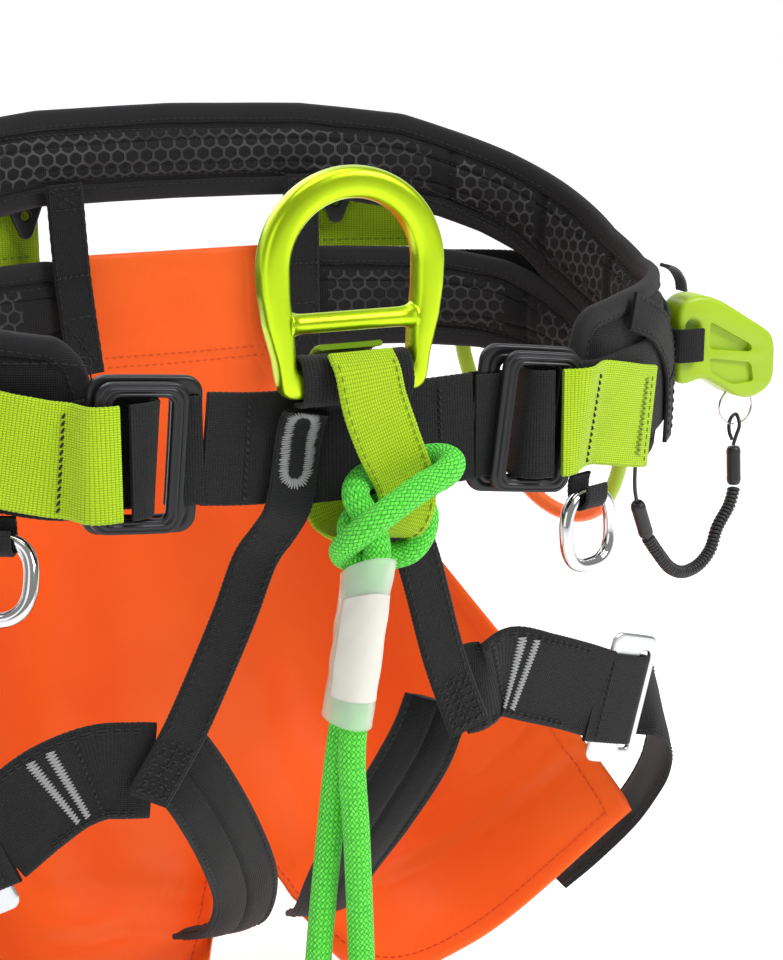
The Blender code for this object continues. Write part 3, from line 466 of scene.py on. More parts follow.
def grid_faces(rows, closed_u=False, closed_v=True, caps=True, u=None, v=None):
    """(verts, faces, uvs) of a surface through rows, closed along (u) or around (v) as said."""
    rows = np.asarray(rows, float)
    n, m = rows.shape[:2]
    if u is None:
        u = arc_length(np.vstack([rows.mean(1), rows.mean(1)[:1]]))
    if v is None:
        ring = rows[n // 2]
        v = arc_length(np.vstack([ring, ring[:1]]))
    i = np.arange(n if closed_u else n - 1)
    j = np.arange(m if closed_v else m - 1)
    a, b = (x.ravel() for x in np.meshgrid(i, j, indexing="ij"))
    a2, b2 = (a + 1) % n, (b + 1) % m
    quads = np.stack([a * m + b, a2 * m + b, a2 * m + b2, a * m + b2], 1)
    uvs = np.stack([np.stack([u[a], v[b]], 1), np.stack([u[a + 1], v[b]], 1),
                    np.stack([u[a + 1], v[b + 1]], 1), np.stack([u[a], v[b + 1]], 1)], 1)
    verts = rows.reshape(-1, 3)
    faces, uvs = quads.tolist(), uvs.reshape(-1, 2)
    if caps and closed_v and not closed_u:
        first, last = list(range(m)), list(range((n - 1) * m, n * m))
        faces += [first, last[::-1]]
        flat = np.column_stack([np.zeros(m), v[:m]])
        uvs = np.vstack([uvs, flat, flat[::-1]])
    p = verts[quads]
    volume = np.einsum("ij,ij->i", p[:, 0], np.cross(p[:, 1], p[:, 2])).sum() + np.einsum(
        "ij,ij->i", p[:, 0], np.cross(p[:, 2], p[:, 3])).sum()
    if closed_v and volume < 0:
        flipped, at = [], 0
        uvs = uvs.copy()
        for face in faces:
            flipped.append(face[::-1])
            uvs[at: at + len(face)] = uvs[at: at + len(face)][::-1]
            at += len(face)
        faces = flipped
    return verts, faces, uvs


def loft(name, rows, look, closed_u=False, closed_v=True, caps=True, u=None, v=None, **kw):
    verts, faces, uvs = grid_faces(rows, closed_u, closed_v, caps, u, v)
    return make(name, verts, faces, uvs, [look], **kw)


def tube_rows(points, radius, sides, closed=False, up=None):
    """Rings round a line of points, without twist. radius is one number or one per point."""
    points = np.asarray(points, float)
    if closed:
        tangent = unit(np.roll(points, -1, 0) - np.roll(points, 1, 0))
    else:
        tangent = unit(np.gradient(points, axis=0))
    radius = np.broadcast_to(radius, len(points))
    normal = np.zeros_like(points)
    start = np.asarray(up, float) if up is not None else np.array([0.3, 0.2, 1.0])
    if abs(unit(start) @ tangent[0]) > 0.95:
        start = np.array([1.0, 0.1, 0.0])
    last = start
    for k, t in enumerate(tangent):
        last = unit(last - (last @ t) * t)
        normal[k] = last
    other = np.cross(tangent, normal)
    a = np.linspace(0, 2 * math.pi, sides, endpoint=False)
    ring = np.cos(a)[None, :, None] * normal[:, None] + np.sin(a)[None, :, None] * other[:, None]
    return points[:, None] + ring * radius[:, None, None]


class Ribbon:
    """A strip's middle line with its width direction and face normal at every station."""

    def __init__(self, mid, side, normal, closed=False):
        self.mid, self.side, self.normal, self.closed = mid, side, normal, closed
        self.run = arc_length(np.vstack([mid, mid[:1]]) if closed else mid)
        self.length = self.run[-1]

    @classmethod
    def along(cls, route, across, count=120, face=(0, -1, 0)):
        rows = smooth([(*p, *unit(a)) for p, a in zip(route, across)], count)
        mid = rows[:, :3]
        tangent = unit(np.gradient(mid, axis=0))
        side = unit(rows[:, 3:6] - np.sum(rows[:, 3:6] * tangent, 1, keepdims=True) * tangent)
        made = cls(mid, side, unit(np.cross(tangent, side)))
        made.face_front(count // 2, face)
        return made

    def face_front(self, station, face):
        """Turns the face normals over if the one at this station looks away from face."""
        if self.normal[station] @ np.asarray(face, float) < 0:
            self.normal = -self.normal

    def at(self, s, v, h):
        s = np.asarray(s, float)
        stack = [np.vstack([x, x[:1]]) if self.closed else x for x in (self.mid, self.side, self.normal)]
        if self.closed:
            s = np.mod(s, self.length)
        mid, side, normal = (
            np.column_stack([np.interp(s.ravel(), self.run, x[:, k]) for k in range(3)]) for x in stack)
        v, h = (np.broadcast_to(x, s.shape).ravel()[:, None] for x in (v, h))
        return (mid + unit(side) * v + unit(normal) * h).reshape(*s.shape, 3)


def flat_section(width, thickness, columns=12, selvedge=0.12):
    """Cross-section of webbing as (v, h): both faces, round edges and slightly raised selvedges."""
    half, t = width / 2, thickness / 2
    xs = np.linspace(-half + t, half - t, columns)
    raised = t + selvedge * np.exp(-((half - np.abs(xs)) / 1.8) ** 2)
    front = np.column_stack([xs, raised])
    turn = [(half - t + t * math.cos(a), t * math.sin(a)) for a in np.radians((60, 20, -20, -60))]
    back = front[::-1] * (1, -1)
    return np.vstack([front, turn, back, [(-x, -h) for x, h in turn]])


def strap(name, ribbon, width, thickness, look, node=None, span=None, lift=0.0, columns=12,
          step=1.5, ripple=0.0, taper=None, **kw):
    """Webbing along a ribbon, or along part of it (span) and lifted off its middle."""
    first, last = span or (0.0, ribbon.length)
    section = flat_section(width, thickness, columns)
    stations = np.linspace(first, last, max(8, int((last - first) / step)))
    s = np.broadcast_to(stations[:, None], (len(stations), len(section)))
    v = np.broadcast_to(section[:, 0], s.shape).copy()
    h = np.broadcast_to(section[:, 1], s.shape) + lift
    if ripple:
        h = h + ripple * np.sin(s / 17.0 + v / 9.0) * np.cos(s / 29.0 - v / 21.0)
    if taper is not None:
        v = v * np.interp(s, ribbon.run, taper)
    v = v + 0.12 * np.sin(s * 2.9) * np.sign(v) * (np.abs(v) > width / 2 - 2)
    rows = ribbon.at(s, v, h)
    around = arc_length(np.vstack([section, section[:1]]))
    return loft(name, rows, look, u=stations, v=around, stands_for=node or (), crease=40, **kw)


THREADS = {}


def thread_rows(key, rows):
    THREADS.setdefault(key, []).append(rows)


def stitches(ribbon, path, look="black_thread", height=1.0, length=2.7, gap=1.1, size=0.42, body=ROOT):
    """A row of short stitches over a path of (s, v) places on a ribbon's face."""
    path = np.asarray(path, float)
    fine = [path[0]]
    for a, b in zip(path, path[1:]):
        steps = max(1, int(np.linalg.norm(b - a) / 0.6))
        fine += [a + (b - a) * k / steps for k in range(1, steps + 1)]
    fine = np.array(fine)
    run = arc_length(fine)
    sink = np.array([-0.5, 0.55, 0.8, 0.55, -0.5]) * size
    girth = np.array([0.45, 0.9, 1.0, 0.9, 0.45]) * size
    starts = np.arange(0.2, run[-1] - length, length + gap)
    for start in starts:
        where = start + np.linspace(0, length, 5)
        s, v = (np.interp(where, run, fine[:, k]) for k in (0, 1))
        points = ribbon.at(s, v, height + np.sign(height) * sink)
        thread_rows((look, body), tube_rows(points, girth, 6))


def zigzag(ribbon, s, reach, half, pitch, look, height, size):
    """One close zig-zag row across a ribbon, half its own width each way."""
    start, end = np.array((s, -reach), float), np.array((s, reach), float)
    along = unit(end - start)
    out = np.array([-along[1], along[0]])
    count = max(4, int(np.linalg.norm(end - start) / pitch))
    places = [start + (end - start) * k / count + out * half * (1 if k % 2 else -1) for k in range(count + 1)]
    fine, lift = [], []
    for a, b in zip(places, places[1:]):
        for t, up in ((0.0, -0.3), (0.2, 0.5), (0.5, 0.8), (0.8, 0.5)):
            fine.append(a + (b - a) * t)
            lift.append(up * size)
    fine = np.array(fine)
    points = ribbon.at(fine[:, 0], fine[:, 1], height + np.array(lift))
    thread_rows((look, ROOT), tube_rows(points, size, 6))


def wavy(ribbon, s, half, height=1.0, amplitude=0.75, size=0.55, look="black_thread", **kw):
    """A straight row across a strap whose stitches lean alternately, as lock stitches do."""
    start, end = np.array((s, -half), float), np.array((s, half), float)
    along = unit(end - start)
    out = np.array([-along[1], along[0]])
    total = np.linalg.norm(end - start)
    pitch = 2.8
    for k in range(int(total / pitch)):
        a = start + along * (k * pitch + 0.2) - out * amplitude
        b = start + along * (k * pitch + pitch - 0.3) + out * amplitude
        length = np.linalg.norm(b - a) - 0.3
        stitches(ribbon, (a, b), look, height, length, 1.0, size, **kw)


def across(s, half, end=None):
    """A path across a ribbon from -half to half, straight at s or slanting to another place."""
    return (s, -half), (s if end is None else end, half)


def box_stitch(ribbon, s0, s1, half):
    """A sewn box with both its diagonals."""
    stitches(ribbon, ((s0, -half), (s1, -half), (s1, half), (s0, half), (s0, -half)))
    stitches(ribbon, ((s0, -half), (s1, half)))
    stitches(ribbon, ((s0, half), (s1, -half)))


def edge_rows(ribbon, half, start, end, *look):
    """A row of stitches along each edge of a ribbon, from start to end."""
    for v in (-half, half):
        stitches(ribbon, ((start, v), (end, v)), *look)


def sew_all():
    """Joins the stitches of one thread and body into one piece."""
    for (look, body), batches in THREADS.items():
        verts, faces, uvs, at = [], [], [], 0
        for rows in batches:
            a, b, c = grid_faces(rows)
            verts.append(a)
            faces += [[at + k for k in face] for face in b]
            uvs.append(c)
            at += len(a)
        make(f"stitching_{look.split('_')[0]}", np.vstack(verts), faces, np.vstack(uvs), [look],
             body=body)


def rounded_box(width, height, corner, steps=8):
    points = []
    for sx, sz, start in ((1, 1, 0), (-1, 1, 90), (-1, -1, 180), (1, -1, 270)):
        for a in np.radians(np.linspace(start, start + 90, steps)):
            points.append((sx * (width / 2 - corner) + corner * math.cos(a),
                           sz * (height / 2 - corner) + corner * math.sin(a)))
    return np.array(points)


def upright(origin, turn=0.0, lean=0.0, roll=0.0):
    """Carries a shape drawn in x and z, thickness along -y, to its place."""
    m = (Matrix.Translation(origin) @ Matrix.Rotation(math.radians(turn), 4, "Z")
         @ Matrix.Rotation(math.radians(lean), 4, "X") @ Matrix.Rotation(math.radians(roll), 4, "Y"))
    return np.array(m)


def moved(points, matrix):
    return np.asarray(points) @ matrix[:3, :3].T + matrix[:3, 3]


def resampled(outline, count):
    outline = np.asarray(outline, float)
    ring = np.vstack([outline, outline[:1]])
    run = arc_length(ring)
    wanted = np.linspace(0, run[-1], count, endpoint=False)
    return np.column_stack([np.interp(wanted, run, ring[:, k]) for k in range(2)])


def frame_plate(name, outer, inner, profile, matrix, look, **kw):
    """A ring between two matching outlines. profile is the section's loop: share of the way in, height."""
    rows = []
    for share, height in profile:
        ring = outer + (inner - outer) * share
        rows.append(np.column_stack([ring[:, 0], np.full(len(ring), -height), ring[:, 1]]))
    return loft(name, moved(np.array(rows), matrix), look, closed_u=True, caps=False, **kw)


def refine(obj, levels=1):
    sub = obj.modifiers.new("Smooth", "SUBSURF")
    sub.levels = sub.render_levels = levels
    return obj


# ---------------------------------------------------------------- padding

def pad_columns(width, edges=(0, 0.6, 1.6, 3.5, 6, 8, 9, 10.2, 11.5, 13.5, 15.2, 16, 16.8, 19), inside=7):
    """Places across a pad, closer together near both edges."""
    reach = min(width / 2 - 1.0, edges[-1])
    near = np.array(edges) * reach / edges[-1]
    middle = np.linspace(near[-1], width - near[-1], inside + 2)[1:-1]
    return np.concatenate([near, middle, width - near[::-1]])


PAD_DEPTHS = ((0, 1.6), (0.8, 2.3), (8.2, 2.5), (9.2, 2.1), (10.4, 3.1), (13, 4.7), (17, 5.4), (22, 5.6))
MESH_FROM, GROOVE = 8, 11


def raised(heights):
    return np.outer(heights, (0, 0, 1))


def waist_pad(name, start, end, bottom, top, seams, mesh_between, corner=15.0):
    """One padded band: bound edges, a sewn border, mesh over the foam on the inner face."""
    count = int(abs(end - start) / 1.1)
    angles = np.linspace(start, end, count)
    middle = np.array([on_waist(a, 0.5 * (bottom(a) + top(a))) for a in angles])
    run = arc_length(middle)
    way = np.sign(end - start)
    lows, highs = np.array([bottom(a) for a in angles]), np.array([top(a) for a in angles])
    from_end = np.minimum(run, run[-1] - run)
    arc_inset = corner - np.sqrt(np.maximum(corner**2 - (corner - from_end) ** 2, 0))
    inset = np.where(from_end < corner, arc_inset, 0)
    inset = np.minimum(inset, (highs - lows) / 2 - 1.5)
    lows, highs = lows + inset, highs - inset
    depth_at, depth = zip(*PAD_DEPTHS)
    seam_runs = np.interp(np.array(sorted(seams, key=lambda a: a * way)) * way, angles * way, run)
    rows = []
    for k, angle in enumerate(angles):
        width = highs[k] - lows[k]
        places = pad_columns(width)
        near = np.minimum(np.minimum(places, width - places), from_end[k] + 1.0)
        h = np.interp(near, depth_at, depth)
        dip = sum(2.6 * math.exp(-((run[k] - seam) / 1.5) ** 2) for seam in seam_runs)
        groove = np.zeros(len(places))
        for index, depth_mm in ((GROOVE - 1, 0.3), (GROOVE, 1.3), (GROOVE + 1, 0.3)):
            groove[index] = groove[-1 - index] = depth_mm
        inner = h - dip * (near > 9.0) - groove * (near > 10.5)
        out = outward(angle)
        base = on_waist(angle, 0.0)
        z = lows[k] + places
        front = base + out * h[:, None] + raised(z)
        back = base - out * inner[:, None] + raised(z)
        rows.append(np.vstack([front, back[::-1]]))
    rows = np.array(rows)
    m = rows.shape[1]
    verts, faces, _ = grid_faces(rows)
    flat = np.stack([np.repeat(run, m), rows[..., 2].ravel()], 1)
    uvs = flat[np.concatenate([np.array(face) for face in faces])]
    station, column = np.divmod(np.arange((len(angles) - 1) * m), m)
    low_index = m // 2 - 2 - (column - m // 2)
    is_mesh = (column >= m // 2) & (low_index >= MESH_FROM) & (low_index + 1 <= m // 2 - 1 - MESH_FROM)
    is_mesh &= from_end[station] > 12.5
    allowed = np.zeros(len(station), bool)
    for a, b in mesh_between:
        allowed |= (angles[station] > min(a, b)) & (angles[station] < max(a, b))
    for seam in seam_runs:
        is_mesh &= np.abs(run[station] - seam) > 4.0
    looks = np.concatenate([np.where(is_mesh & allowed, 1, 0), [0, 0]])
    pad = make(name, verts, faces, uvs, ["pad_cloth", "pad_mesh"], looks, stands_for=name)

    out = np.array([outward(a) for a in angles])
    base = np.array([on_waist(a, 0.0) for a in angles])
    first = base[0] + raised(np.linspace(highs[0], lows[0], 9)[1:-1])
    last = base[-1] + raised(np.linspace(lows[-1], highs[-1], 9)[1:-1])
    line = np.vstack([base + raised(lows), last, (base + raised(highs))[::-1], first])
    normal = np.vstack([out, np.repeat(out[-1:], len(last), 0), out[::-1], np.repeat(out[:1], len(first), 0)])
    both = smooth(np.hstack([line, normal]), int(run[-1]), closed=True)
    line, normal = both[:, :3], unit(both[:, 3:])
    tangent = unit(np.roll(line, -2, 0) - np.roll(line, 2, 0))
    inward = unit(np.cross(normal, tangent))
    if inward[len(line) // 6, 2] < 0:
        inward = -inward
    edge = Ribbon(line, inward, normal, closed=True)
    front = np.array([(8.2, 2.7), (7.0, 3.1), (4.5, 3.3), (2.0, 3.2), (0.4, 2.7), (-0.7, 1.6)])
    section = np.vstack([front, (-1.0, 0), front[::-1] * (1, -1), (8.2, 0)])
    s = np.broadcast_to(edge.run[:-1, None], (len(edge.run) - 1, len(section)))
    rows = edge.at(s, section[:, 0] * (1.0 + 0.03 * np.sin(s / 6.0)), section[:, 1])
    loft(f"{name}_binding", rows, "binding", closed_u=True, caps=False, u=edge.run,
         v=arc_length(np.vstack([section, section[:1]])))
    for height in (3.1, -3.1):
        stitches(edge, ((0, 6.4), (edge.length - 1, 6.4)), "black_thread", height, 2.4, 1.1, 0.36)
    return Ribbon(base, np.tile((0.0, 0, 1), (len(base), 1)), out), lows, highs, run


def rim_row(body, lows, highs, run, inset, height):
    """A stitched border line at one distance inside a pad's edges; inner faces have height < 0."""
    keep = (run > 20) & (run < run[-1] - 20) & (highs - lows > 2 * inset + 6)
    s, low, high = run[keep], lows[keep] + inset, highs[keep] - inset
    path = [*zip(s, low), *zip(s[::-1], high[::-1]), (s[0], low[0])]
    stitches(body, path, "black_thread", height, 2.4, 1.2, 0.36)


def build_waist_pads():
    """The padded belt: one upper pad and a lower pad on each hip."""
    upper = waist_pad(
        "upper_waist_pad", UPPER_END[1], UPPER_END[-1], lambda a: edge_height(UPPER_BOTTOM, a),
        lambda a: edge_height(UPPER_TOP, a) + float(
            np.interp(a, (195, 225), (UPPER_RISE[1], UPPER_RISE[-1]))),
        (-20, 2, 26, 46, 134, 154, 178, 200), ((-12, 24), (28, 44), (48, 132), (136, 152), (156, 192)))
    for inset, height in ((11.0, -3.4), (16.0, -4.0), (12.5, 4.2)):
        rim_row(*upper, inset, height)
    for side, name in named("lower_hip_pad"):
        start, end, *marks = (side_angle(side, a) for a in (-38, 75, -8, 30, -4, 26, 34, 66))
        lower = waist_pad(name, start, end, lambda a: edge_height(LOWER_BOTTOM, a),
                          lambda a: edge_height(LOWER_TOP, a), marks[:2], (marks[2:4], marks[4:]))
        for height in (-3.4, 3.4):
            rim_row(*lower, 11.0, height)


# ---------------------------------------------------------------- webbing

def build_back_straps():
    """The two upright straps between the upper pad and the seat."""
    for (_, name), x, drift in zip(named("back_strap"), (63.0, -51.0), (0.0, 5.0)):
        y = waist(90 - x / 2.4, IN_PAD)[1]
        route = [(x - drift, y, 84), (x - drift / 2, y, 40), (x + drift / 2, y, -8)]
        line = Ribbon.along(route, [(1, 0, 0)] * 3, 60)
        strap(name, line, 18.0, 2.0, "webbing", node=name)
        for low, high in ((2, 12), (64, 90)):
            box_stitch(line, low, high, 7.5)
        wavy(line, 44, 8.5, amplitude=0.5)
        edge_rows(line, 7.5, 14, 62)


HIP_HEIGHT = {1: (0.5, 3.5, 11, 15, 21, 20), -1: (1.5, 9, 15, 17, 21, 20)}


def build_hip_webbing():
    """The wide webbing round each hip to its belt buckle."""
    turn = ((12, -113.0), (4, -113.0), (-2.5, -113.4), (-5.8, -116.3), (-6.4, -121), (-5.4, -126),
            (-1, -129.4), (5, -130.5))
    for side, name in named("hip_webbing"):
        route = []
        for a in (64, 48, 32, 16, 0, -14, -27, -38, -47, -55):
            x, y, z = on_waist(a, np.interp(a, (-55, -38, -14, 0, 32, 64), HIP_HEIGHT[side]), ON_PAD)
            route.append((x * side, y, z))
        route += [(BUCKLE_X[side] + side * dx, y, BUCKLE_Z[side]) for dx, y in turn]
        line = Ribbon.along(route, [(0, 0, 1)] * 9 + [lean(side)] * 9, 240, face=(side * 0.6, -1, 0))
        strap(name, line, WEBBING, 2.0, "webbing", node=name, columns=18, step=1.2)
        for s in (8, 24, 62, 98):
            wavy(line, s, 19)


HIP_STRAP = ((-46, 40, -0.2, 0.75), (-40, 32, 2.8, 0.6), (-35, 22, 2.6, 0.4), (-31.5, 10, 2.6, 0.2),
             (-30, -6, 2.6, 0.0), (-30, -26, 2.2, 0.0))


def build_hip_straps():
    """Narrow webbing from the upper pad's outer face, down over the hip webbing."""
    for side, name in named("hip_strap"):
        route, widths = [], []
        for angle, height, offset, lift in HIP_STRAP:
            angle = side_angle(side, angle)
            tangent = unit(waist(angle + 0.5) - waist(angle - 0.5)) * side
            route.append(on_waist(angle, height + (UPPER_RISE[side] if height > 25 else 0), ON_PAD + offset))
            widths.append((tangent[0], tangent[1], lift))
        line = Ribbon.along(route, widths, 120, face=(side * 0.8, -1, 0))
        strap(name, line, 17.0, 1.8, "webbing", node=name, columns=10, step=1.0)
        edge_rows(line, 6.6, 3, line.length - 3, "black_thread", 0.9)
        wavy(line, line.length - 30, 7, 0.9)


TAILS = {1: ((32, -117.5, -0.5), (40, -113.5, -2), (54, -107.5, -5.5), (64, -102, -8), (71, -97.5, -9.5)),
         -1: ((26, -120, 0.5), (34, -116, 1.5), (44, -111.5, 3.5), (54, -106.5, 5.5), (62, -102, 7.5))}
TAB_ACROSS = {1: (*((0.2, 0, 1),) * 3, (0.16, 0, 1), (0.12, 0, 1), (0.06, 0, 1), (0, 0, 1), (0, 0, 1)),
              -1: (*((0.05, 0, 1),) * 4, *((0, 0, 1),) * 4)}


def build_belt_tabs():
    """Bright webbing tails: lock-stitched where they fold over the frame, barred near their ends."""
    start = ((9, -130.4, 0), (15, -130.6, 0), (21, -128, 0))
    for side, name in named("belt_tab"):
        route = [(BUCKLE_X[side] + side * dx, y, BUCKLE_Z[side] + z) for dx, y, z in (*start, *TAILS[side])]
        line = Ribbon.along(route, TAB_ACROSS[side], 120)
        strap(name, line, WEBBING, 2.2, "lime_webbing", node=name, columns=22, step=1.0, lift=0.1)
        total = line.length
        fold = 13.0 if side > 0 else 17.0
        wavy(line, fold + 8, 20.5, 1.25, 0.7)
        zigzag(line, total - 10, 17, 2.3, 1.1, "lime_thread", 1.25, 0.38)
        stitches(line, across(total - 4.2, 20), "lime_thread", 1.25, 2.2, 1.0, 0.34)
        strap(f"{name}_turned_end", line, WEBBING - 0.6, 1.5, "lime_webbing", span=(total - 16, total - 0.8),
              lift=-1.9, columns=16)


def build_buckles():
    """The two nested frames of each belt buckle."""
    back = [(0, -1.4), (0, 1.0), (0.04, 1.8), (0.12, 2.2), (0.40, 2.2), (0.46, 1.7), (0.54, 1.7),
            (0.60, 2.15), (0.84, 2.15), (0.95, 1.6), (1.0, 0.7), (1.0, -1.2), (0.93, -2.0), (0.5, -2.2),
            (0.08, -2.1)]
    front = [(0, -1.4), (0, 0.6), (0.05, 1.2), (0.13, 1.45), (0.26, 1.45), (0.31, 1.15), (0.36, 1.9),
             (0.44, 2.2), (0.60, 2.2), (0.66, 1.6), (0.72, 1.6), (0.78, 2.0), (0.9, 1.9), (1.0, 1.0),
             (1.0, -1.2), (0.93, -2.0), (0.5, -2.2), (0.08, -2.1)]
    for side in (1, -1):
        for part, size, hole, y, inward, profile, corner in (
            ("back_frame", (46, 62), (27, 47), -117.6, 3.0, back, 7.5),
            ("front_frame", (37, 59), (23, 47), -124.6, 0.0, front, 7.0),
        ):
            name = f"belt_buckle_{part}_{side_name(side)}"
            body = f"belt_frame_{side_name(side)}" if part == "front_frame" else ROOT
            roll = math.radians(BUCKLE_LEAN[side])
            place = (BUCKLE_X[side] - side * inward * math.cos(roll), y,
                     BUCKLE_Z[side] + side * inward * math.sin(roll))
            matrix = upright(place, roll=BUCKLE_LEAN[side])
            refine(frame_plate(name, rounded_box(*size, corner), rounded_box(*hole, 3.0), profile, matrix,
                               "black_metal", stands_for=name, body=body))


def build_front_belt():
    """The belt across the front, folded round a bar at each end."""
    bar = {side: BUCKLE_X[side] - side * 26.0 for side in (1, -1)}
    route = ((bar[-1] + 1.2, BELT_Y, BUCKLE_Z[-1]), (-44, BELT_Y, 2.7), (-22, BELT_Y, 2.0), (20, BELT_Y, 1.5),
             (bar[1] - 1.2, BELT_Y, BUCKLE_Z[1]))
    line = Ribbon.along(route, (lean(-1), (0.03, 0, 1), (0, 0, 1), (0.03, 0, 1), lean(1)), 120)
    strap("front_belt", line, WEBBING, 3.0, "webbing", node="front_belt", columns=20, step=1.2, ripple=0.12)
    for s in (17, line.length - 15):
        wavy(line, s, 20.5, 1.5)
    fold = ((-0.4, -121.2), (5, -121.15), (10.5, -120.9), (12.3, -117.6), (10.5, -114.1), (5, -113.9),
            (-0.4, -114.2))
    for side, name in named("belt_fold"):
        route = [(bar[side] + side * dx, y, BUCKLE_Z[side]) for dx, y in fold]
        turn = Ribbon.along(route, [lean(side)] * len(route), 60, face=(side, 0, 0))
        strap(name, turn, 43.0, 1.3, "webbing", node=name, columns=16, step=0.8)


def oval_bartack(ribbon, centre, length=29.0, width=10.0, spokes=78, reach=2.2, size=0.42):
    """Close stitches lying across an oval along the ribbon, as round a sewn slot."""
    half, r = length / 2 - width / 2, width / 2
    run = np.array([(r * math.cos(t), r * math.sin(t) + (half if math.sin(t) >= 0 else -half))
                    for t in full_turn(400)])
    ring = resampled(run, spokes)
    out = unit(ring - np.column_stack([np.zeros(spokes), np.clip(ring[:, 1], -half, half)]))
    turn = math.radians(90.0)
    matrix = np.array([[math.cos(turn), -math.sin(turn)], [math.sin(turn), math.cos(turn)]])
    rng = np.random.default_rng(4)
    for p, o in zip(ring, out):
        far = reach * (0.75 + 0.5 * rng.random())
        near = reach * (0.75 + 0.3 * rng.random())
        skew = np.array([-o[1], o[0]]) * 0.35
        ends = np.array([p - o * near - skew, p + o * far + skew]) @ matrix.T + centre
        where = ends[0] + (ends[1] - ends[0]) * np.linspace(0, 1, 5)[:, None]
        sink = np.array([-0.4, 0.5, 0.8, 0.5, -0.4]) * size
        points = ribbon.at(where[:, 0], where[:, 1], 1.0 + sink)
        thread_rows(("grey_thread", ROOT), tube_rows(points, np.array([0.5, 0.9, 1, 0.9, 0.5]) * size, 6))


# ---------------------------------------------------------------- attachment ring and its loops

def both_sides(left):
    """These outline points down the left side, then up the right side."""
    return [*left, *((-x, z) for x, z in reversed(left))]


def build_ring():
    """A forged ring, round above and narrower at its foot, with a round bar across."""
    top_z, radius, arm, foot, base = 73.0, 38.5, 12.5, 31.0, 23.0
    a = np.radians(np.linspace(0, 180, 60))
    outer = [*zip(radius * np.cos(a), top_z + radius * np.sin(a))]
    outer += both_sides([
        (-radius + 0.4, 64), (-radius + 2.2, 52), (-foot - 1.5, 38),
        *((-foot + 6 - 6 * math.sin(t), base + 6 - 6 * math.cos(t))
          for t in np.radians((80, 60, 40, 20, 0)))])
    r = radius - arm
    inner = [*zip(r * np.cos(a), top_z + r * np.sin(a))]
    inner += both_sides([
        (-r + 0.2, 62), (-r + 1.6, 48), (-r + 1.9, 38),
        *((-r + 5 - 3.1 * math.sin(t), 36.6 - 3.1 * math.cos(t)) for t in np.radians((80, 40, 0)))])
    shift = np.array([0, -RING_BAR_Z])
    outer, inner = (resampled(line, 220) + shift for line in (outer, inner))
    profile = [(0.0, 0.0), (0.01, 2.2), (0.05, 3.9), (0.13, 5.1), (0.24, 5.75), (0.38, 5.95), (0.62, 5.95),
               (0.76, 5.75), (0.87, 5.1), (0.95, 3.9), (0.99, 2.2), (1.0, 0.0)]
    profile += [(share, -h) for share, h in profile[-2:0:-1]]
    place = upright((RING_X, RING_Y, RING_BAR_Z))
    refine(frame_plate("attachment_ring", outer, inner, profile, place, "lime_metal",
                       stands_for="attachment_ring", body="attachment_ring"))
    span = np.linspace(-r - 0.6, r + 0.6, 41)
    girth = 3.9 + 2.6 * np.exp(-(np.abs(np.abs(span) - r - 0.6) / 2.2) ** 1.3)
    points = np.column_stack([span + RING_X, np.full(41, RING_Y), np.full(41, 52.0)])
    loft("attachment_ring_crossbar", tube_rows(points, girth, 32, up=(0, 0, 1)), "lime_metal",
         body="attachment_ring")


def build_ring_loop():
    """Wide webbing from behind the belt, round the bar of the attachment ring."""
    y, z = RING_Y, RING_BAR_Z
    profile = [(-123.2, -21), (-123.2, 12), (-124.2, 17.6), (-127.5, 20), (-132.5, 20.7), (y - 7.3, z - 5.2),
               (y - 8.4, z + 1), (y - 4.6, z + 8.8), (y + 2.5, z + 9.4), (y + 8.4, z + 6), (-118.0, z + 2),
               (-116.2, 26), (-116.2, 18), (-116.4, -21)]
    line = Ribbon.along([(RING_X, *p) for p in profile], [(1, 0, 0)] * len(profile), 200, face=(0, -0.4, 1))
    strap("ring_loop", line, 46.0, 1.9, "webbing_fine", node="ring_loop", columns=20, step=0.9)


BRIDGE_ROUTE = [
    (-4, -137, 40.6), (-4, -144.5, 34.5), (-2, -146.5, 22), (4, -146, 6), (11, -145, -10), (13, -143, -22),
    (9.5, -138.5, -31.5), (5, -129.5, -36), (2, -119, -37), (-1, -110.4, -33), (-3.5, -107.8, -25),
    (-5, -107.8, -10), (-5, -109, 8), (-4, -110.6, 22), (-4, -114.6, 34.2), (-4, -120.5, 39.6),
    (-4, -128, 41.9)]
BRIDGE_ACROSS = [
    (1, 0, 0.03), (1, 0, 0.05), (1, 0, 0.1), (1, -0.1, 0.18), (1, -0.2, 0.2), (1, -0.22, 0.15),
    (1, -0.18, 0.05), (1, -0.1, 0), (1, 0, 0), (1, 0, 0.05), *((1, 0, 0),) * 7]
BRIDGE_WIDTHS = (27, 27, 27, 26, 24, 23, 23, 23.5, 24, 25, 26, 26, 26, 26, 26, 26, 27)


def build_bridge_loop():
    """The bright strap that hangs from the ring and holds the sling."""
    line = Ribbon.along(BRIDGE_ROUTE, BRIDGE_ACROSS, 260)
    line.face_front(30, (0, -1, 0))
    width = smooth([(*p, w) for p, w in zip(BRIDGE_ROUTE, BRIDGE_WIDTHS)], 260)[:, 3]
    strap("bridge_loop", line, 27.0, 2.2, "lime_webbing", node="bridge_loop", columns=16, step=1.0,
          taper=width / 27)
    for v in (-1, 1):
        path = [(run, v * (np.interp(run, line.run, width) / 2 - 2.1)) for run in range(6, 93, 4)]
        stitches(line, path, "lime_thread", 1.2, 2.4, 1.2, 0.34)


# ---------------------------------------------------------------- sling

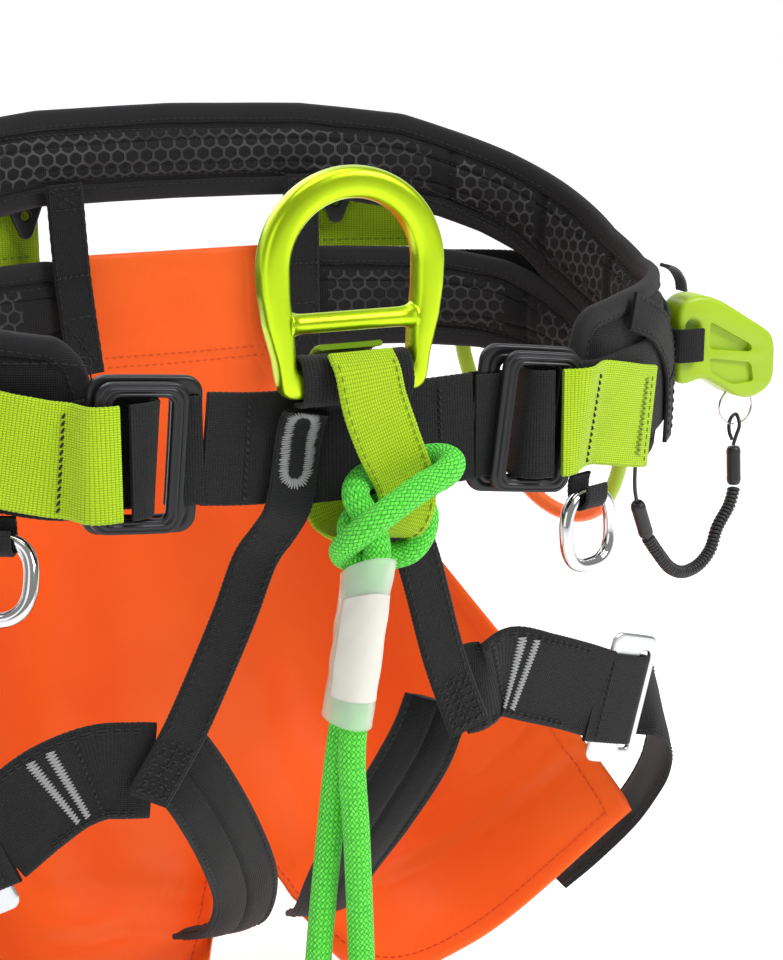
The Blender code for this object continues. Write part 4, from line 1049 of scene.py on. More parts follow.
SLING_ROUTE = [
    (-8.2, -140.2, -66), (-10.6, -140.2, -90), (-15.2, -140, -120), (-20, -139.8, -160),
    (-25.5, -140.2, -215), (-27, -140.5, -265), (-24, -141, -300), (-16, -142, -314), (-9, -143.5, -302),
    (-8, -145.5, -265), (-9.5, -148.5, -212), (-12.5, -151.2, -155), (-14.6, -151.6, -118),
    (-11.4, -151.8, -88), (-7.6, -151.8, -60), (-4.8, -151.6, -43), (-3.4, -151.2, -34),
    (-5, -148.8, -24.5), (-8.4, -142.6, -15.5), (-4.4, -137, -10.5), (4, -135.8, -7.6), (14, -136.2, -5.4),
    (23, -138.8, -3.6), (28.2, -144.2, -2.6), (28.6, -150.8, -3.4), (23.6, -155.4, -6), (14, -156.6, -9.6),
    (4, -157.8, -14.4), (-5, -157.4, -20), (-11.4, -153.2, -26.5), (-13.6, -146, -32.5), (-12.4, -138, -38),
    (-7, -131.2, -42.8), (1, -128.8, -44.8), (11, -129.6, -45), (19.5, -131.4, -43), (25, -131.8, -36.6),
    (26.4, -131.4, -28.6), (22.5, -131.2, -23.2), (13.5, -131.2, -22.6), (4, -131.4, -24),
    (-6.5, -134.2, -27.5), (-8.6, -139.8, -35.4), (-6.4, -141, -43.4), (-6.9, -140.6, -55),
]
ROPE = 11.0


def build_sling():
    """The rope sling with its clear sleeve and label."""
    points = smooth(SLING_ROUTE, 1500)
    run = arc_length(points)
    sides = 72
    rows = tube_rows(points, ROPE / 2, sides)
    middle = points[:, None]
    around = np.linspace(0, math.pi * ROPE, sides + 1)
    one, two = (np.sin(run[:, None] * BRAID_ALONG + hand * around[None, :-1] * BRAID_AROUND)
                for hand in (1, -1))
    height = np.where(one * two > 0, np.abs(two), np.abs(one)) ** 0.5
    swell = 0.945 + 0.055 * height + 0.008 * np.sin(run / 23.0)[:, None]
    rows = middle + (rows - middle) * swell[..., None]
    rope = loft("sling_rope", rows, "braid", u=run, v=around, stands_for="sling_rope")
    start, end = np.array([-4.9, -146.0, -43.6]), np.array([-14.0, -145.5, -105.0])
    axis = unit(end - start)
    wide = unit(np.array([1.0, 0, 0]) - axis * axis[0])
    deep = np.cross(axis, wide)
    t = np.linspace(0, 1, 60)
    a = full_turn(48)
    front = 1 if deep[1] > 0 else -1

    def sleeve_rows(grow, first=0.0, last=1.0):
        rows = []
        for k in first + (last - first) * t:
            flare = (1 + 0.015 * math.sin(k * 23) + 0.05 * math.exp(-k / 0.03)
                     + 0.04 * math.exp(-(1 - k) / 0.03))
            wrinkle = 1 + 0.010 * np.sin(3 * a + k * 9) + 0.006 * np.sin(7 * a - k * 31)
            across = (8.9 + grow) * flare * wrinkle * np.cos(a)
            into = (13.2 + grow) * flare * wrinkle * np.sin(a)
            slant = 0.6 * (1 - k) * into * front
            rows.append(start + (end - start) * k + across[:, None] * wide + into[:, None] * deep
                        + slant[:, None] * axis)
        return np.array(rows)

    tube = np.vstack([sleeve_rows(0.3), sleeve_rows(-0.3)[::-1]])
    sleeve = loft("sling_sleeve", tube, "clear", closed_u=True, caps=False, stands_for="sling_sleeve")
    band = sleeve_rows(0.42, 0.2, 0.84)
    band = band[:, 24:48] if front > 0 else band[:, 0:25]
    under = band - 0.12 * unit(band - (start + (end - start) * 0.5))
    label = loft("sling_label", np.concatenate([band, under[:, ::-1]], axis=1), "label")


# ---------------------------------------------------------------- rings, risers, leg straps

SIDE_RINGS = {1: (-57, -34.0, 4.0), -1: (-47.5, -27.5, 26.0)}
SIDE_RING_HALF_WIDTH, SIDE_RING_HALF_HEIGHT, SIDE_RING_POWER, SIDE_RING_RADIUS = 14.0, 15.5, 2.6, 3.0
RING_LOOP = ((-4.2, 8), (-5.2, 4), (-4.8, -2), (-2.4, -5.4), (1.8, -5.4), (4.9, -2.4), (5.4, 2), (5.2, 5))


def build_side_rings():
    """Oval rings, each in a small webbing loop, resting swung outward by its own angle."""
    for side, name in named("side_ring"):
        angle, top, swing = SIDE_RINGS[side]
        at = side_angle(side, angle)
        out = outward(at)
        along = np.array([-out[1], out[0], 0])
        centre = on_waist(at, top, ON_PAD + 4.0)
        down = np.array([0, 0, -1]) * math.cos(math.radians(swing)) + out * math.sin(math.radians(swing))
        c, s = np.cos(full_turn(120)), np.sin(full_turn(120))
        squarer = (np.abs(c) ** SIDE_RING_POWER + np.abs(s) ** SIDE_RING_POWER) ** (-1 / SIDE_RING_POWER)
        points = (centre + np.outer(SIDE_RING_HALF_WIDTH * c * squarer, along)
                  + np.outer(SIDE_RING_HALF_HEIGHT * (1 - s * squarer), down))
        rows = tube_rows(points, SIDE_RING_RADIUS, 28, closed=True, up=np.cross(along, down))
        loft(name, rows, "chrome", closed_u=True, caps=False, body=name, stands_for=name)
        route = [centre + out * depth + np.array([0, 0, height]) for depth, height in RING_LOOP]
        line = Ribbon.along(route, [along] * len(route), 80, face=out)
        name = f"side_ring_loop_{side_name(side)}"
        strap(name, line, 13.0, 1.6, "webbing", node=name, columns=10, step=0.6)


RISERS = {
    -1: ((-22.8, -128.5, 17.2), (-23.6, -126.3, 14), (-25.3, -125.5, 6), (-28.3, -125.4, -13.8),
         (-31, -125.2, -23.5), (-34.5, -119.6, -33), (-40, -113.4, -45), (-48, -110.5, -68),
         (-60, -106.5, -98), (-70, -104, -120), (-84, -101, -145)),
    1: ((22, -113.4, -28), (34, -110, -56), (47, -107, -100), (61, -104, -136))}
RISER_ACROSS = {
    -1: (*((1, 0, -0.1),) * 4, (1, 0, -0.2), *((1, 0, -0.35),) * 6),
    1: ((1, 0, 0.35),) * 4}


def build_risers():
    """Narrow webbing from the belt down to each leg strap."""
    for side, name in named("leg_riser", (-1, 1)):
        line = Ribbon.along(RISERS[side], RISER_ACROSS[side], 160)
        strap(name, line, 19.5, 2.0, "webbing", node=name, columns=12, step=1.0)
        end = line.length
        edge_rows(line, 7.4, 50 if side < 0 else 14, end - 30)
        box_stitch(line, end - 27, end - 3, 7.4)
        stitches(line, ((end - 27, 0), (end - 3, 0)))
        for k in range(6):
            stitches(line, across(end - 24 + 4 * k, 7.4), size=0.5)
        if side < 0:
            s = float(np.interp(-3.0, -line.mid[:, 2], line.run))
            oval_bartack(line, (s, 0.0))


LEG_STRAPS = {
    -1: ((-80, -97.5, -134), (-90, -96, -133), (-102, -93, -133), (-116, -87.5, -139), (-128, -81.5, -149),
         (-142.4, -76.2, -161.6)),
    1: ((62, -97, -121), (72, -97, -120), (84, -94, -117), (103, -91, -124), (122, -87, -132),
        (136.8, -84.4, -138.8))}
LEG_STRAP_ACROSS = {
    -1: ((-0.12, 0, 1), (-0.25, 0.05, 1), (-0.42, 0.1, 1), (-0.45, 0.1, 1), (-0.43, 0.15, 1), (-0.4, 0.3, 1)),
    1: ((0.32, 0, 1),) * 6}
LEG_BUCKLES = {1: ((152.5, -77, -146), 14, 17), -1: ((-152, -63, -170), -42, -28)}
STRAP_TURN = ((-21, -3.3), (-16.5, -3.4), (-12, -3.6), (3, -3.9), (8, -3.6), (10.6, -1.6), (10.6, 1.6),
              (8, 3.4), (2, 3.6))


def build_leg_straps():
    """Wide webbing from riser to buckle."""
    for side, name in named("leg_strap", (-1, 1)):
        line = Ribbon.along(LEG_STRAPS[side], LEG_STRAP_ACROSS[side], 140)
        bend = np.array([line.at(line.length - d, 0, 0) for d in (13.0, 0.5)]) * MM
        strap(name, line, 42.0, 2.6, "webbing", node=name, columns=20, step=1.0, ripple=0.15,
              body=(ROOT, f"leg_buckle_{side_name(side)}", bend[0].tolist(), bend[1].tolist()))
        bars = (26, 32.5) if side > 0 else (35, 42)
        for s in bars:
            zigzag(line, s, 16.5, 1.85, 0.75, "grey_thread", 1.35, 0.42)
        wavy(line, bars[0] - 9, 18.5, 1.3)
        for half in (18.5, 18.5 * 0.93):
            edge_rows(line, half, 6, line.length - 15, "black_thread", 1.3)


def build_leg_buckles():
    """Flat frames of bright alloy, with the webbing wrapped over each one's outer bar."""
    profile = [(0, -0.6), (0, 0.5), (0.05, 1.2), (0.16, 1.5), (0.6, 1.45), (0.85, 1.4), (0.97, 1.0), (1, 0.3),
               (1, -0.6), (0.95, -1.2), (0.6, -1.5), (0.1, -1.4)]
    for side, name in named("leg_buckle"):
        centre, turn, roll = LEG_BUCKLES[side]
        outer = rounded_box(30, 62, 5.5) + np.array([side * 1.0, 0])
        inner = rounded_box(6, 47, 2.0) + np.array([side * 9.3, 0])
        place = upright(centre, turn=turn, roll=roll)
        refine(frame_plate(name, outer, inner, profile, place, "bright_metal", stands_for=name, body=name))
        route = moved([(side * x, y, 0) for x, y in STRAP_TURN], place)
        line = Ribbon.along(route, [place[:3, 2]] * len(route), 120, face=place[:3, 0] * side)
        wrap = f"leg_strap_turn_{side_name(side)}"
        strap(wrap, line, 42.0, 1.8, "webbing", node=wrap, columns=20, step=0.8, body=name)
        line.face_front(20, -place[:3, 1])
        wavy(line, 7, 18.5, 0.9, body=name)


def soft_strip(name, line, width, thick, channel=0.0, edge=3.2):
    """A padded strip with bound edges and, if channel is set, a sewn groove along its middle."""
    half = width / 2
    xs = np.concatenate([[-half, -half + 0.6, -half + 1.6], np.linspace(-half + edge, half - edge, 21),
                         [half - 1.6, half - 0.6, half]])
    near = half - np.abs(xs)
    h = thick / 2 * np.clip(0.42 + 0.62 * (1 - np.exp(-np.maximum(near - edge, 0) / 2.6)), 0, 1)
    h = np.where(near < 0.1, thick * 0.12, np.where(near < edge, thick * 0.24, h))
    h = h - channel * np.exp(-(xs / 1.1) ** 2)
    stations = np.linspace(0, line.length, int(line.length / 1.4))
    v = np.concatenate([xs, xs[::-1]])
    s = np.broadcast_to(stations[:, None], (len(stations), len(v)))
    puff = 1 + 0.05 * np.sin(s / 9.0 + v / 6.0)
    rows = line.at(s, v, np.concatenate([h, -h[::-1]]) * puff)
    verts, faces, uvs = grid_faces(rows, u=stations, v=np.concatenate([v, xs[:1]]))
    m = len(v)
    column = np.arange((len(stations) - 1) * m) % m
    middle = np.abs((v[column] + v[(column + 1) % m]) / 2)
    face_looks = np.concatenate([(middle > half - edge).astype(int), [0, 0]])
    make(name, verts, faces, uvs, ["pad_cloth", "binding"], face_looks, stands_for=name)
    for face in (1, -1):
        edge_rows(line, half - edge * 0.65, 2, line.length - 2, "black_thread", face * (thick * 0.24 + 0.1),
                  2.4, 1.1, 0.34)


OUTER_PADS = {
    1: ((156, -67.7, -147.3), (163, -66.2, -149), (171, -64, -151.5), (181, -59.6, -156.5),
        (191, -51.5, -169), (197, -43, -187), (196, -37, -206), (186, -32, -226), (168, -28, -244),
        (148, -26, -258)),
    -1: ((-150, -52.4, -173.6), (-158.6, -45.8, -176.2), (-172, -42, -183), (-183, -38, -194),
         (-189, -34, -208), (-188, -31, -222), (-180, -29, -236), (-166, -27, -249), (-148, -26, -259))}
OUTER_PAD_ACROSS = {
    1: ((0.29, 0.07, 0.95), (0.29, 0.08, 0.95), (0.3, 0.25, 0.9), (0.32, 0.6, 0.7), (0.3, 0.85, 0.4),
        (0.26, 0.95, 0.1), *((0.25, 1, -0.1),) * 4),
    -1: ((-0.35, 0.3, 0.88), (-0.33, 0.45, 0.8), (-0.32, 0.7, 0.6), (-0.3, 0.85, 0.35), (-0.26, 0.95, 0.1),
         *((-0.25, 1, -0.1),) * 4)}


def build_outer_leg_pads():
    """The padding under each leg strap, on the outside of the thigh."""
    for side, name in named("outer_leg_pad"):
        line = Ribbon.along(OUTER_PADS[side], OUTER_PAD_ACROSS[side], 160, face=(side, 0, 0))
        soft_strip(name, line, 38.0, 4.0)


INNER_PADS = {
    1: ((52, -91.6, -127), (43.5, -87, -152), (32, -72, -185), (24, -52, -217), (24, -28, -247),
        (30, -2, -262)),
    -1: ((-72, -94.5, -127), (-56, -87, -152), (-38, -71, -186), (-24, -50, -220), (-22, -28, -248),
         (-30, -2, -262))}
INNER_PAD_ACROSS = ((-0.45, 0.9), (-0.5, 0.85), (-0.75, 0.65), (-0.95, 0.3), (-1, 0.05), (-1, 0))


def build_inner_pads():
    """The padding from each leg strap round the inside of the thigh."""
    for side, name in named("inner_thigh_pad"):
        line = Ribbon.along(INNER_PADS[side], [(x * side, 0, z) for x, z in INNER_PAD_ACROSS], 140)
        soft_strip(name, line, 32.0, 6.0, channel=1.4)


# ---------------------------------------------------------------- seat

SEAT_COLUMNS = (0.0, 0.22, 0.55, 1.0)
SEAT_ROWS = (
    (50, (113.5, 47), (113.5, 47), (113.5, 47), (113.5, 47)),
    (50, (113.5, 16), (113.5, 16), (113.5, 16), (113.5, 16)),
    (54, (113.5, -8), (113.5, -8), (113.5, -8), (112, -8)),
    (80, (116, -45), (116, -45), (114, -46), (103, -42)),
    (112, (121, -95), (120, -96), (116, -100), (76, -92)),
    (140, (116, -145), (114, -148), (106, -160), (40, -138)),
    (160, (94, -192), (90, -198), (78, -220), (8, -172)),
    (173, (68, -216), (58, -236), (44, -258), (-18, -198)),
    (180, (48, -226), (20, -268), (2, -276), (-36, -214)),
    (180, (34, -228), (-22, -286), (-34, -280), (-46, -220)))
# Distance from the middle line, then distance down from the top edge.
LOBE_SEAM = ((20, 352), (34, 344), (63, 333), (92, 327), (125, 323), (149, 318), (184, 309), (218, 296),
             (250, 280))
LOBE_FOLD = ((30, 384), (51, 368), (91, 352), (112, 354), (143, 342), (171, 331), (234, 313))
TOP_SEAM = 53.0


def build_seat():
    """The seat cloth, hung in two lobes, with a hem and folds."""
    across_count, down_count = 121, 150
    rows = []
    for half_width, *levels in SEAT_ROWS:
        half = [(half_width * x, *level) for x, level in zip(SEAT_COLUMNS, levels)]
        across = [(-x, y, z) for x, y, z in reversed(half[1:])] + half
        rows.append(smooth(across, across_count))
    down = np.array(rows)
    middle = np.stack([smooth(down[:, i], down_count) for i in range(across_count)], axis=1)
    tangent_u, tangent_v = np.gradient(middle, axis=0), np.gradient(middle, axis=1)
    normal = unit(np.cross(tangent_v, tangent_u))
    if normal[40, 60, 1] > 0:
        normal = -normal
    step_u, step_v = (np.linalg.norm(tangent, axis=2) for tangent in (tangent_u, tangent_v))
    u = np.cumsum(step_u, axis=0) - step_u[:1]
    v = np.cumsum(step_v, axis=1) - step_v[:, :1]
    v = v - v[:, across_count // 2: across_count // 2 + 1]
    edge_v = v.max(axis=1, keepdims=True) - np.abs(v)
    edge_u = np.minimum(u, u.max(axis=0) - u)
    near = np.minimum(edge_v, edge_u)
    folds = 0.9 * np.sin(u / 31 + np.abs(v) / 47) * np.clip(near / 40, 0, 1)
    folds += 0.55 * np.sin(v / 23 - u / 53) * np.clip(near / 30, 0, 1)
    low = np.clip((np.abs(v) - 18) / 14, 0, 1) * (u > 200)
    seam_gap = u - np.interp(np.abs(v), *zip(*LOBE_SEAM))
    fold_gap = u - np.interp(np.abs(v), *zip(*LOBE_FOLD))
    folds += low * (1.5 * np.exp(-(fold_gap / 5.5) ** 2) - 1.7 * np.exp(-((fold_gap - 8) / 4.5) ** 2))
    folds -= low * (1.3 * np.exp(-(seam_gap / 1.3) ** 2) + 0.5 * np.exp(-(seam_gap / 6.0) ** 2))
    pull = np.clip((u - 60) / 40, 0, 1) * np.clip((210 - u) / 60, 0, 1)
    folds += pull * 1.3 * np.sin(v / 13.0 + np.sin(u / 37.0)) * np.clip(near / 25, 0, 1)
    rise = np.clip((u - 205) / 60, 0, 1)
    folds += rise * 0.9 * np.sin((np.abs(v) * 0.8 + u * 0.55) / 11.0) * np.clip(near / 30, 0, 1)
    hem = np.clip((9.0 - near) / 1.2, 0, 1)
    half = 0.55 + 0.35 * hem - 0.25 * np.exp(-(near - 9.4) ** 2)
    half += 0.35 * np.clip(TOP_SEAM - u, 0, 1) - 0.3 * np.exp(-((u - TOP_SEAM - 1.2) / 0.9) ** 2)
    folds *= 0.9
    verts = np.vstack([(middle + normal * (folds + face * half)[..., None]).reshape(-1, 3)
                       for face in (1, -1)])
    total = down_count * across_count
    index = np.arange(total).reshape(down_count, across_count)
    a, b = index[:-1, :-1].ravel(), index[:-1, 1:].ravel()
    c, d = index[1:, 1:].ravel(), index[1:, :-1].ravel()
    faces_front = np.stack([a, d, c, b], 1)
    flat = np.stack([u, v], -1).reshape(-1, 2)
    p = verts[faces_front[5000]]
    facing = np.cross(p[1] - p[0], p[2] - p[0]) @ normal.reshape(-1, 3)[faces_front[5000][0]]
    if facing < 0:
        faces_front = faces_front[:, ::-1]
    faces_back = faces_front[:, ::-1] + total
    rim = [*index[0, :], *index[1:, -1], *index[-1, -2::-1], *index[-2:0:-1, 0]]
    rim_faces = []
    for p0, p1 in zip(rim, rim[1:] + rim[:1]):
        quad = [p0, p1, p1 + total, p0 + total]
        rim_faces.append(quad[::-1] if facing < 0 else quad)
    faces = faces_front.tolist() + faces_back.tolist() + rim_faces
    both = np.vstack([flat, flat])
    uvs = both[np.array(faces).ravel()]
    seat = make("seat_panel", verts, faces, uvs, ["seat_cloth"], stands_for="seat_panel")
    hem_stitching(middle + normal * folds[..., None], normal, u)


def hem_stitching(middle, normal, u):
    """Short stitches beside the seat's edges and on both sides of its top seam."""

    def row(line, normals, height):
        strip = Ribbon(line, unit(np.cross(normals, unit(np.gradient(line, axis=0)))), normals)
        stitches(strip, ((1, 0), (strip.length - 1, 0)), "orange_thread", height, 2.6, 1.2, 0.34)

    for part in (np.s_[2:-2, 3], np.s_[2:-2, -4], np.s_[-5, 2:-2]):
        row(middle[part], normal[part], 0.95)
    for target in (TOP_SEAM - 1.6, TOP_SEAM + 3.5):
        line, face = [], []
        for c in range(2, middle.shape[1] - 2):
            at = np.interp(target, u[:, c], np.arange(len(u)))
            k = int(at)
            line.append(middle[k, c] + (middle[k + 1, c] - middle[k, c]) * (at - k))
            face.append(normal[k, c])
        row(np.array(line), np.array(face), 0.9 if target < TOP_SEAM else 0.55)


# ---------------------------------------------------------------- plastic fittings

def arc(x, z, radius, start, end, count):
    turn = np.radians(np.linspace(start, end, count))
    return [*zip(x + radius * np.cos(turn), z + radius * np.sin(turn))]


def curve_plate(name, outlines, thickness, edge, matrix, look, bevels=3, **kw):
    """A plate with rounded rims from closed outlines, the later ones being holes."""
    data = bpy.data.curves.new(name, "CURVE")
    data.dimensions = "2D"
    data.fill_mode = "BOTH"
    data.extrude = thickness / 2 - edge
    data.bevel_depth = edge
    data.bevel_resolution = bevels
    data.offset = -edge
    for outline in outlines:
        spline = data.splines.new("POLY")
        spline.points.add(len(outline) - 1)
        for target, (x, z) in zip(spline.points, outline):
            target.co = (x, z, 0, 1)
        spline.use_cyclic_u = True
    holder = bpy.data.objects.new(name + "_outline", data)
    bpy.context.scene.collection.objects.link(holder)
    bpy.context.view_layer.update()
    graph = bpy.context.evaluated_depsgraph_get()
    flat = bpy.data.meshes.new_from_object(holder.evaluated_get(graph))
    bpy.data.objects.remove(holder)
    shape = bmesh.new()
    shape.from_mesh(flat)
    bmesh.ops.remove_doubles(shape, verts=shape.verts, dist=0.002)
    bmesh.ops.recalc_face_normals(shape, faces=shape.faces)
    shape.to_mesh(flat)
    shape.free()
    points = np.array([vert.co[:] for vert in flat.vertices])
    faces = [list(p.vertices) for p in flat.polygons]
    standing = np.column_stack([points[:, 0], -points[:, 2], points[:, 1]])
    uvs = np.vstack([points[f][:, :2] for f in faces])
    return make(name, moved(standing, matrix), faces, uvs, [look], **kw)


def build_gear_clips():
    """Black moulded clips that hang the rear panels from the upper pad."""
    outline = [*arc(0, -41, 4, 215, 325, 12), *arc(16, -2, 4, -30, 90, 8), *arc(-16, -2, 4, 90, 210, 8)]
    hole = arc(0, -34, 2.4, 0, 345, 24)
    for (side, name), angle in zip(named("gear_clip"), (64, 69)):
        at = side_angle(side, angle)
        out = outward(at)
        turn = math.degrees(math.atan2(out[0], -out[1]))
        x, y = waist(at, ON_PAD + 1.5)
        curve_plate(name, [outline, hole], 3.0, 0.9, upright((x, y, 102), turn=turn), "black_plastic",
                    stands_for=name, crease=50)


def build_rear_panels():
    """Bright webbing panels behind the hips."""
    for side, name in named("rear_panel"):
        angles = np.linspace(side_angle(side, 52), side_angle(side, 71.5), 24)
        mid = np.array([on_waist(a, 61.75, ON_PAD + 7.5) for a in angles])
        line = Ribbon(mid, np.tile((0.0, 0, 1), (24, 1)), np.array([outward(a) for a in angles]))
        strap(name, line, 36.5, 2.0, "lime_webbing", node=name, columns=14)
        for height in (1.1, -1.1):
            edge_rows(line, 14, 2, line.length - 2, "lime_thread", height)


def build_gear_loops():
    """Sleeved loops, lime above and orange below."""
    path = ((44, -4, 5.8), (43, -18, 6), (40, -46, 9), (35, -74, 13), (30, -90, 15), (24, -96, 16),
            (18, -90, 15), (13, -74, 13), (8, -46, 9), (5, -18, 6), (4, -4, 5.8))
    for side, name in named("gear_loop"):
        points = smooth([on_waist(a, z, ON_PAD + offset) * (side, 1, 1) for a, z, offset in path], 220)
        run = arc_length(points)
        girth = 3.9 + 0.09 * np.sin(run * 2.2)
        verts, faces, uvs = grid_faces(tube_rows(points, girth, 24))
        share = np.arange(219 * 24) // 24 / 219
        looks = np.concatenate([((share > 0.36) & (share < 0.64)).astype(int), [0, 0]])
        make(name, verts, faces, uvs, ["lime_plastic", "orange_plastic"], looks, stands_for=name)


HOOK_THICKNESS = 17.0
HOOK_OUTLINE = [
    (197, -5), (197, 27), (200, 32), (206, 34.5), (213, 34), (222, 30.5), (247, 15.5), (250.5, 12), (252, 6),
    (252, -9), (248, -14), (240, -17.5), (231, -16), (224, -11.5), (212, -5), (203, -7.5), (199, -7)]


def rounded_outline(points, radius, steps=5):
    """The outline with each corner cut by an arc of about this radius."""
    out = []
    points = np.array(points, float)
    for k, p in enumerate(points):
        a, b = points[k - 1], points[(k + 1) % len(points)]
        da, db = a - p, b - p
        ra = min(radius, np.linalg.norm(da) * 0.45)
        rb = min(radius, np.linalg.norm(db) * 0.45)
        p0, p1 = p + unit(da) * ra, p + unit(db) * rb
        for t in np.linspace(0, 1, steps):
            out.append(tuple((1 - t) ** 2 * p0 + 2 * t * (1 - t) * p + t**2 * p1))
    return out


def split_ring_line(count, shift=0.0):
    """The split ring's middle line, hanging from SPLIT_TOP."""
    x, z = SPLIT_TOP
    return np.array([(x + SPLIT_RADIUS * math.sin(t), HOOK_Y + shift, z - SPLIT_RADIUS * (1 - math.cos(t)))
                     for t in full_turn(count)])


def build_tool_hook():
    """The bright moulded hook, hollowed on both faces, with a channel for the split ring."""
    aperture = [(201, 6), (201, 20), (203, 23.5), (208, 21.5), (209, 14), (207.5, 7), (204, 4)]
    place = upright((0, HOOK_Y, 0))
    hook = curve_plate("tool_hook", [rounded_outline(HOOK_OUTLINE, 4), rounded_outline(aperture, 2)],
                       HOOK_THICKNESS, 2.4, place, "lime_plastic", bevels=4, stands_for="tool_hook",
                       crease=35)
    pocket = [(214, 22), (238, 9), (238, 5.5), (214, 8.5)]
    lower = [(214, 4.5), (238, 0.5), (240, -9), (228, -9.5), (216, -3)]
    cutters = []
    for index, (shape, depth) in enumerate(((pocket, 3.2), (lower, 2.0))):
        for face in (-1, 1):
            matrix = upright((0, HOOK_Y + face * (HOOK_THICKNESS / 2 + 1.0 - depth / 2), 0))
            cutters.append(curve_plate(
                f"hook_recess_{index}_{face}", [rounded_outline(shape, 2.5)], depth + 2, 0.0, matrix,
                "lime_plastic", bevels=0, crease=40))
    cutters.append(loft("hook_channel", tube_rows(split_ring_line(48), 2.0, 12, closed=True, up=(0, 1, 0)),
                        "lime_plastic", closed_u=True, caps=False, crease=40))
    for cutter in cutters:
        cut = hook.modifiers.new("Recess", "BOOLEAN")
        cut.object = cutter
        cut.operation = "DIFFERENCE"
        cut.solver = "EXACT"
    bpy.context.view_layer.update()
    graph = bpy.context.evaluated_depsgraph_get()
    data = bpy.data.meshes.new_from_object(hook.evaluated_get(graph))
    hook.modifiers.clear()
    hook.data = data
    for cutter in cutters:
        bpy.data.objects.remove(cutter)
    bevel = hook.modifiers.new("Rims", "BEVEL")
    bevel.width = 0.5 * MM
    bevel.segments = 2
    bevel.limit_method = "ANGLE"
    bevel.angle_limit = math.radians(38)


def build_hook_straps():
    """The webbing that carries the tool hook."""
    y = HOOK_Y
    route = [(193.6, y - 7.4, 12), (195.6, y - 11.4, 12), (202, y - 12.6, 12), (208, y - 12.6, 12)]
    line = Ribbon.along(route, [(0.06, 0, 1)] * 4, 40)
    strap("hook_strap", line, 16.0, 1.6, "webbing", node="hook_strap", columns=8, step=0.8)
    route = [(203, y, 36.2), (202, y, 41), (199, y, 45.5), (196, y, 47.5), (193.2, y, 48.5)]
    line = Ribbon.along(route, [(0, 1, 0)] * 5, 40, face=(1, 0, 0.6))
    strap("hook_keeper", line, 9.0, 1.6, "grey_webbing", node="hook_keeper", columns=8, step=0.8)


LEASH_ROUTE = (
    (232.3, -45.1, -61.6), (228, -48, -69), (219, -52, -78), (213, -56, -87), (204, -60, -92.5),
    (193, -64, -93.5), (183, -68, -89), (174, -72, -80), (166, -75, -70.5))


def ferrule(name, start, end):
    start, end = np.array(start, float), np.array(end, float)
    t = np.linspace(0, 1, 24)
    girth = 3.5 * (1 - 0.28 * np.exp(-t / 0.05) - 0.28 * np.exp(-(1 - t) / 0.05))
    girth -= 0.12 * (np.abs(t - 0.5) < 0.3)
    return loft(name, tube_rows(start + (end - start) * t[:, None], girth, 28), "rubber", stands_for=name)


def leash_loop(name, route, count):
    return loft(name, tube_rows(smooth(route, count), 0.9, 12), "rubber", stands_for=name)


def build_leash():
    """The split ring and the coiled leash under the tool hook."""
    for shift, name, node in ((-0.31, "split_ring", "split_ring"), (0.31, "split_ring_second_turn", ())):
        rows = tube_rows(split_ring_line(96, shift), RING_WIRE, 12, closed=True, up=(0, 1, 0))
        loft(name, rows, "chrome", closed_u=True, caps=False, body="split_ring", stands_for=node)
    centre = smooth(LEASH_ROUTE, 600)
    run = arc_length(centre)
    wire, pitch = 0.95, 2.05
    s = np.linspace(0, run[-1], int(run[-1] / pitch * 16))
    at = np.column_stack([np.interp(s, run, centre[:, k]) for k in range(3)])
    tangent = unit(np.gradient(at, axis=0))
    up = unit(np.cross(tangent, (0.2, 1.0, 0.1)))
    other = np.cross(tangent, up)
    phase = 2 * math.pi * s / pitch
    coil = at + (3.2 - wire) * (np.cos(phase)[:, None] * up + np.sin(phase)[:, None] * other)
    leash = loft("leash_coil", tube_rows(coil, wire, 8), "rubber", stands_for="leash_coil")
    core = loft("leash_core", tube_rows(centre[::8], 1.6, 10), "rubber")
    fittings = [ferrule("leash_upper_ferrule", (232.4, -43, -41), (232.5, -44.6, -59.6)),
                ferrule("leash_lower_ferrule", (165.3, -75.3, -69.6), (157.5, -78.5, -52))]
    upper = [(232.6, -42.5, -40.6), (234, -42.6, -36), (236, -42.0, -31), (236.4, -38.6, -26.6),
             (236.2, -34.9, -28.5), (235.4, -34.1, -32), (234.8, -35.6, -36), (234.6, -38.4, -38.9)]
    lower = [(157.3, -78.6, -51.6), (155.5, -79.5, -44), (154.5, -81, -34), (154.5, -82, -24)]
    fittings += [leash_loop("leash_upper_loop", upper, 90), leash_loop("leash_lower_loop", lower, 60)]


# ---------------------------------------------------------------- studio

FLOOR_Z = -0.34
LIGHTS = (("key", (1.2, -1.5, 1.5), 1.0, 39), ("fill", (-1.5, -1.3, 0.5), 1.2, 5),
          ("top", (-0.1, -0.1, 1.9), 1.4, 20), ("back", (-0.3, 1.5, 1.0), 1.2, 8))


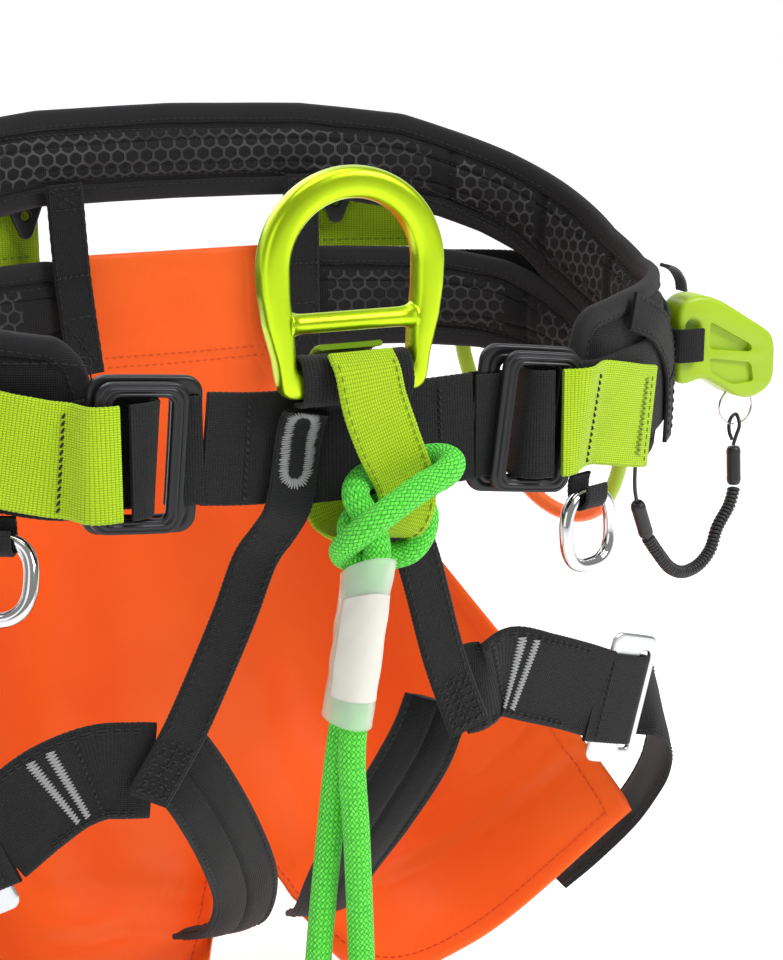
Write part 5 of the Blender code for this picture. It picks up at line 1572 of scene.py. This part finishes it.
def build_studio():
    """A pale floor that bends up behind the saddle, under soft lights (name, place, size, power)."""
    world = bpy.data.worlds.new("studio")
    bpy.context.scene.world = world
    world.use_nodes = True
    world.node_tree.nodes["Background"].inputs[0].default_value = (1, 1, 1, 1)
    world.node_tree.nodes["Background"].inputs[1].default_value = 0.34
    g = Graph("studio_floor", (0.93, 0.93, 0.93), 0.9, Emission_Color=(1, 1, 1, 1), Emission_Strength=0.42)
    grain = g.noise(6, 3)
    g.rough(g.ramp(grain, 0.3, 0.7, 0.86, 0.95))
    data = bpy.data.meshes.new("floor")
    width, front, back, top, bend = 9.0, -4.0, 2.6, 6.0, 1.2
    line = [(front, FLOOR_Z), *((back + bend * math.sin(t), FLOOR_Z + bend * (1 - math.cos(t)))
                                for t in np.radians(np.linspace(0, 90, 16))), (back + bend, top)]
    verts = [(x, y, h) for y, h in line for x in (-width, width)]
    faces = [(2 * k, 2 * k + 1, 2 * k + 3, 2 * k + 2) for k in range(len(line) - 1)]
    data.from_pydata(verts, [], faces)
    data.materials.append(g.mat)
    data.shade_smooth()
    floor = bpy.data.objects.new("floor", data)
    bpy.context.scene.collection.objects.link(floor)
    for name, place, size, power in LIGHTS:
        light = bpy.data.lights.new(name, "AREA")
        light.energy, light.size, light.shape = power, size, "SQUARE"
        lamp = bpy.data.objects.new(name, light)
        lamp.location = place
        aim = Vector((0, 0, -0.05)) - Vector(place)
        lamp.rotation_euler = aim.to_track_quat("-Z", "Y").to_euler()
        bpy.context.scene.collection.objects.link(lamp)
    bpy.context.scene.view_settings.view_transform = "Standard"


def build_camera():
    """A camera in front of the saddle, a little to its right and above."""
    azimuth, elevation, distance, yaw, pitch = -20.0, 12.0, 0.9, -4.2, 2.7
    focal, tall, sensor = 1990.0, 960.0, 36.0
    back = direction(azimuth + yaw, elevation + pitch)
    turn = math.radians(azimuth + yaw)
    right = np.array([math.cos(turn), math.sin(turn), 0])
    data = bpy.data.cameras.new("camera")
    data.sensor_width = sensor
    data.lens = focal * sensor / tall
    camera = bpy.data.objects.new("camera", data)
    matrix = Matrix([[*row] for row in np.column_stack([right, np.cross(back, right), back])]).to_4x4()
    matrix.translation = Vector(direction(azimuth, elevation) * distance)
    camera.matrix_world = matrix
    bpy.context.scene.collection.objects.link(camera)
    bpy.context.scene.camera = camera


for build in (
    build_camera, build_studio, build_sling, build_leash, build_waist_pads, build_back_straps,
    build_hip_webbing, build_belt_tabs, build_hip_straps, build_buckles, build_front_belt, build_ring,
    build_ring_loop, build_bridge_loop, build_side_rings, build_risers, build_leg_straps,
    build_leg_buckles, build_outer_leg_pads, build_inner_pads, build_seat, build_gear_clips,
    build_rear_panels, build_gear_loops, build_tool_hook, build_hook_straps, sew_all,
):
    build()
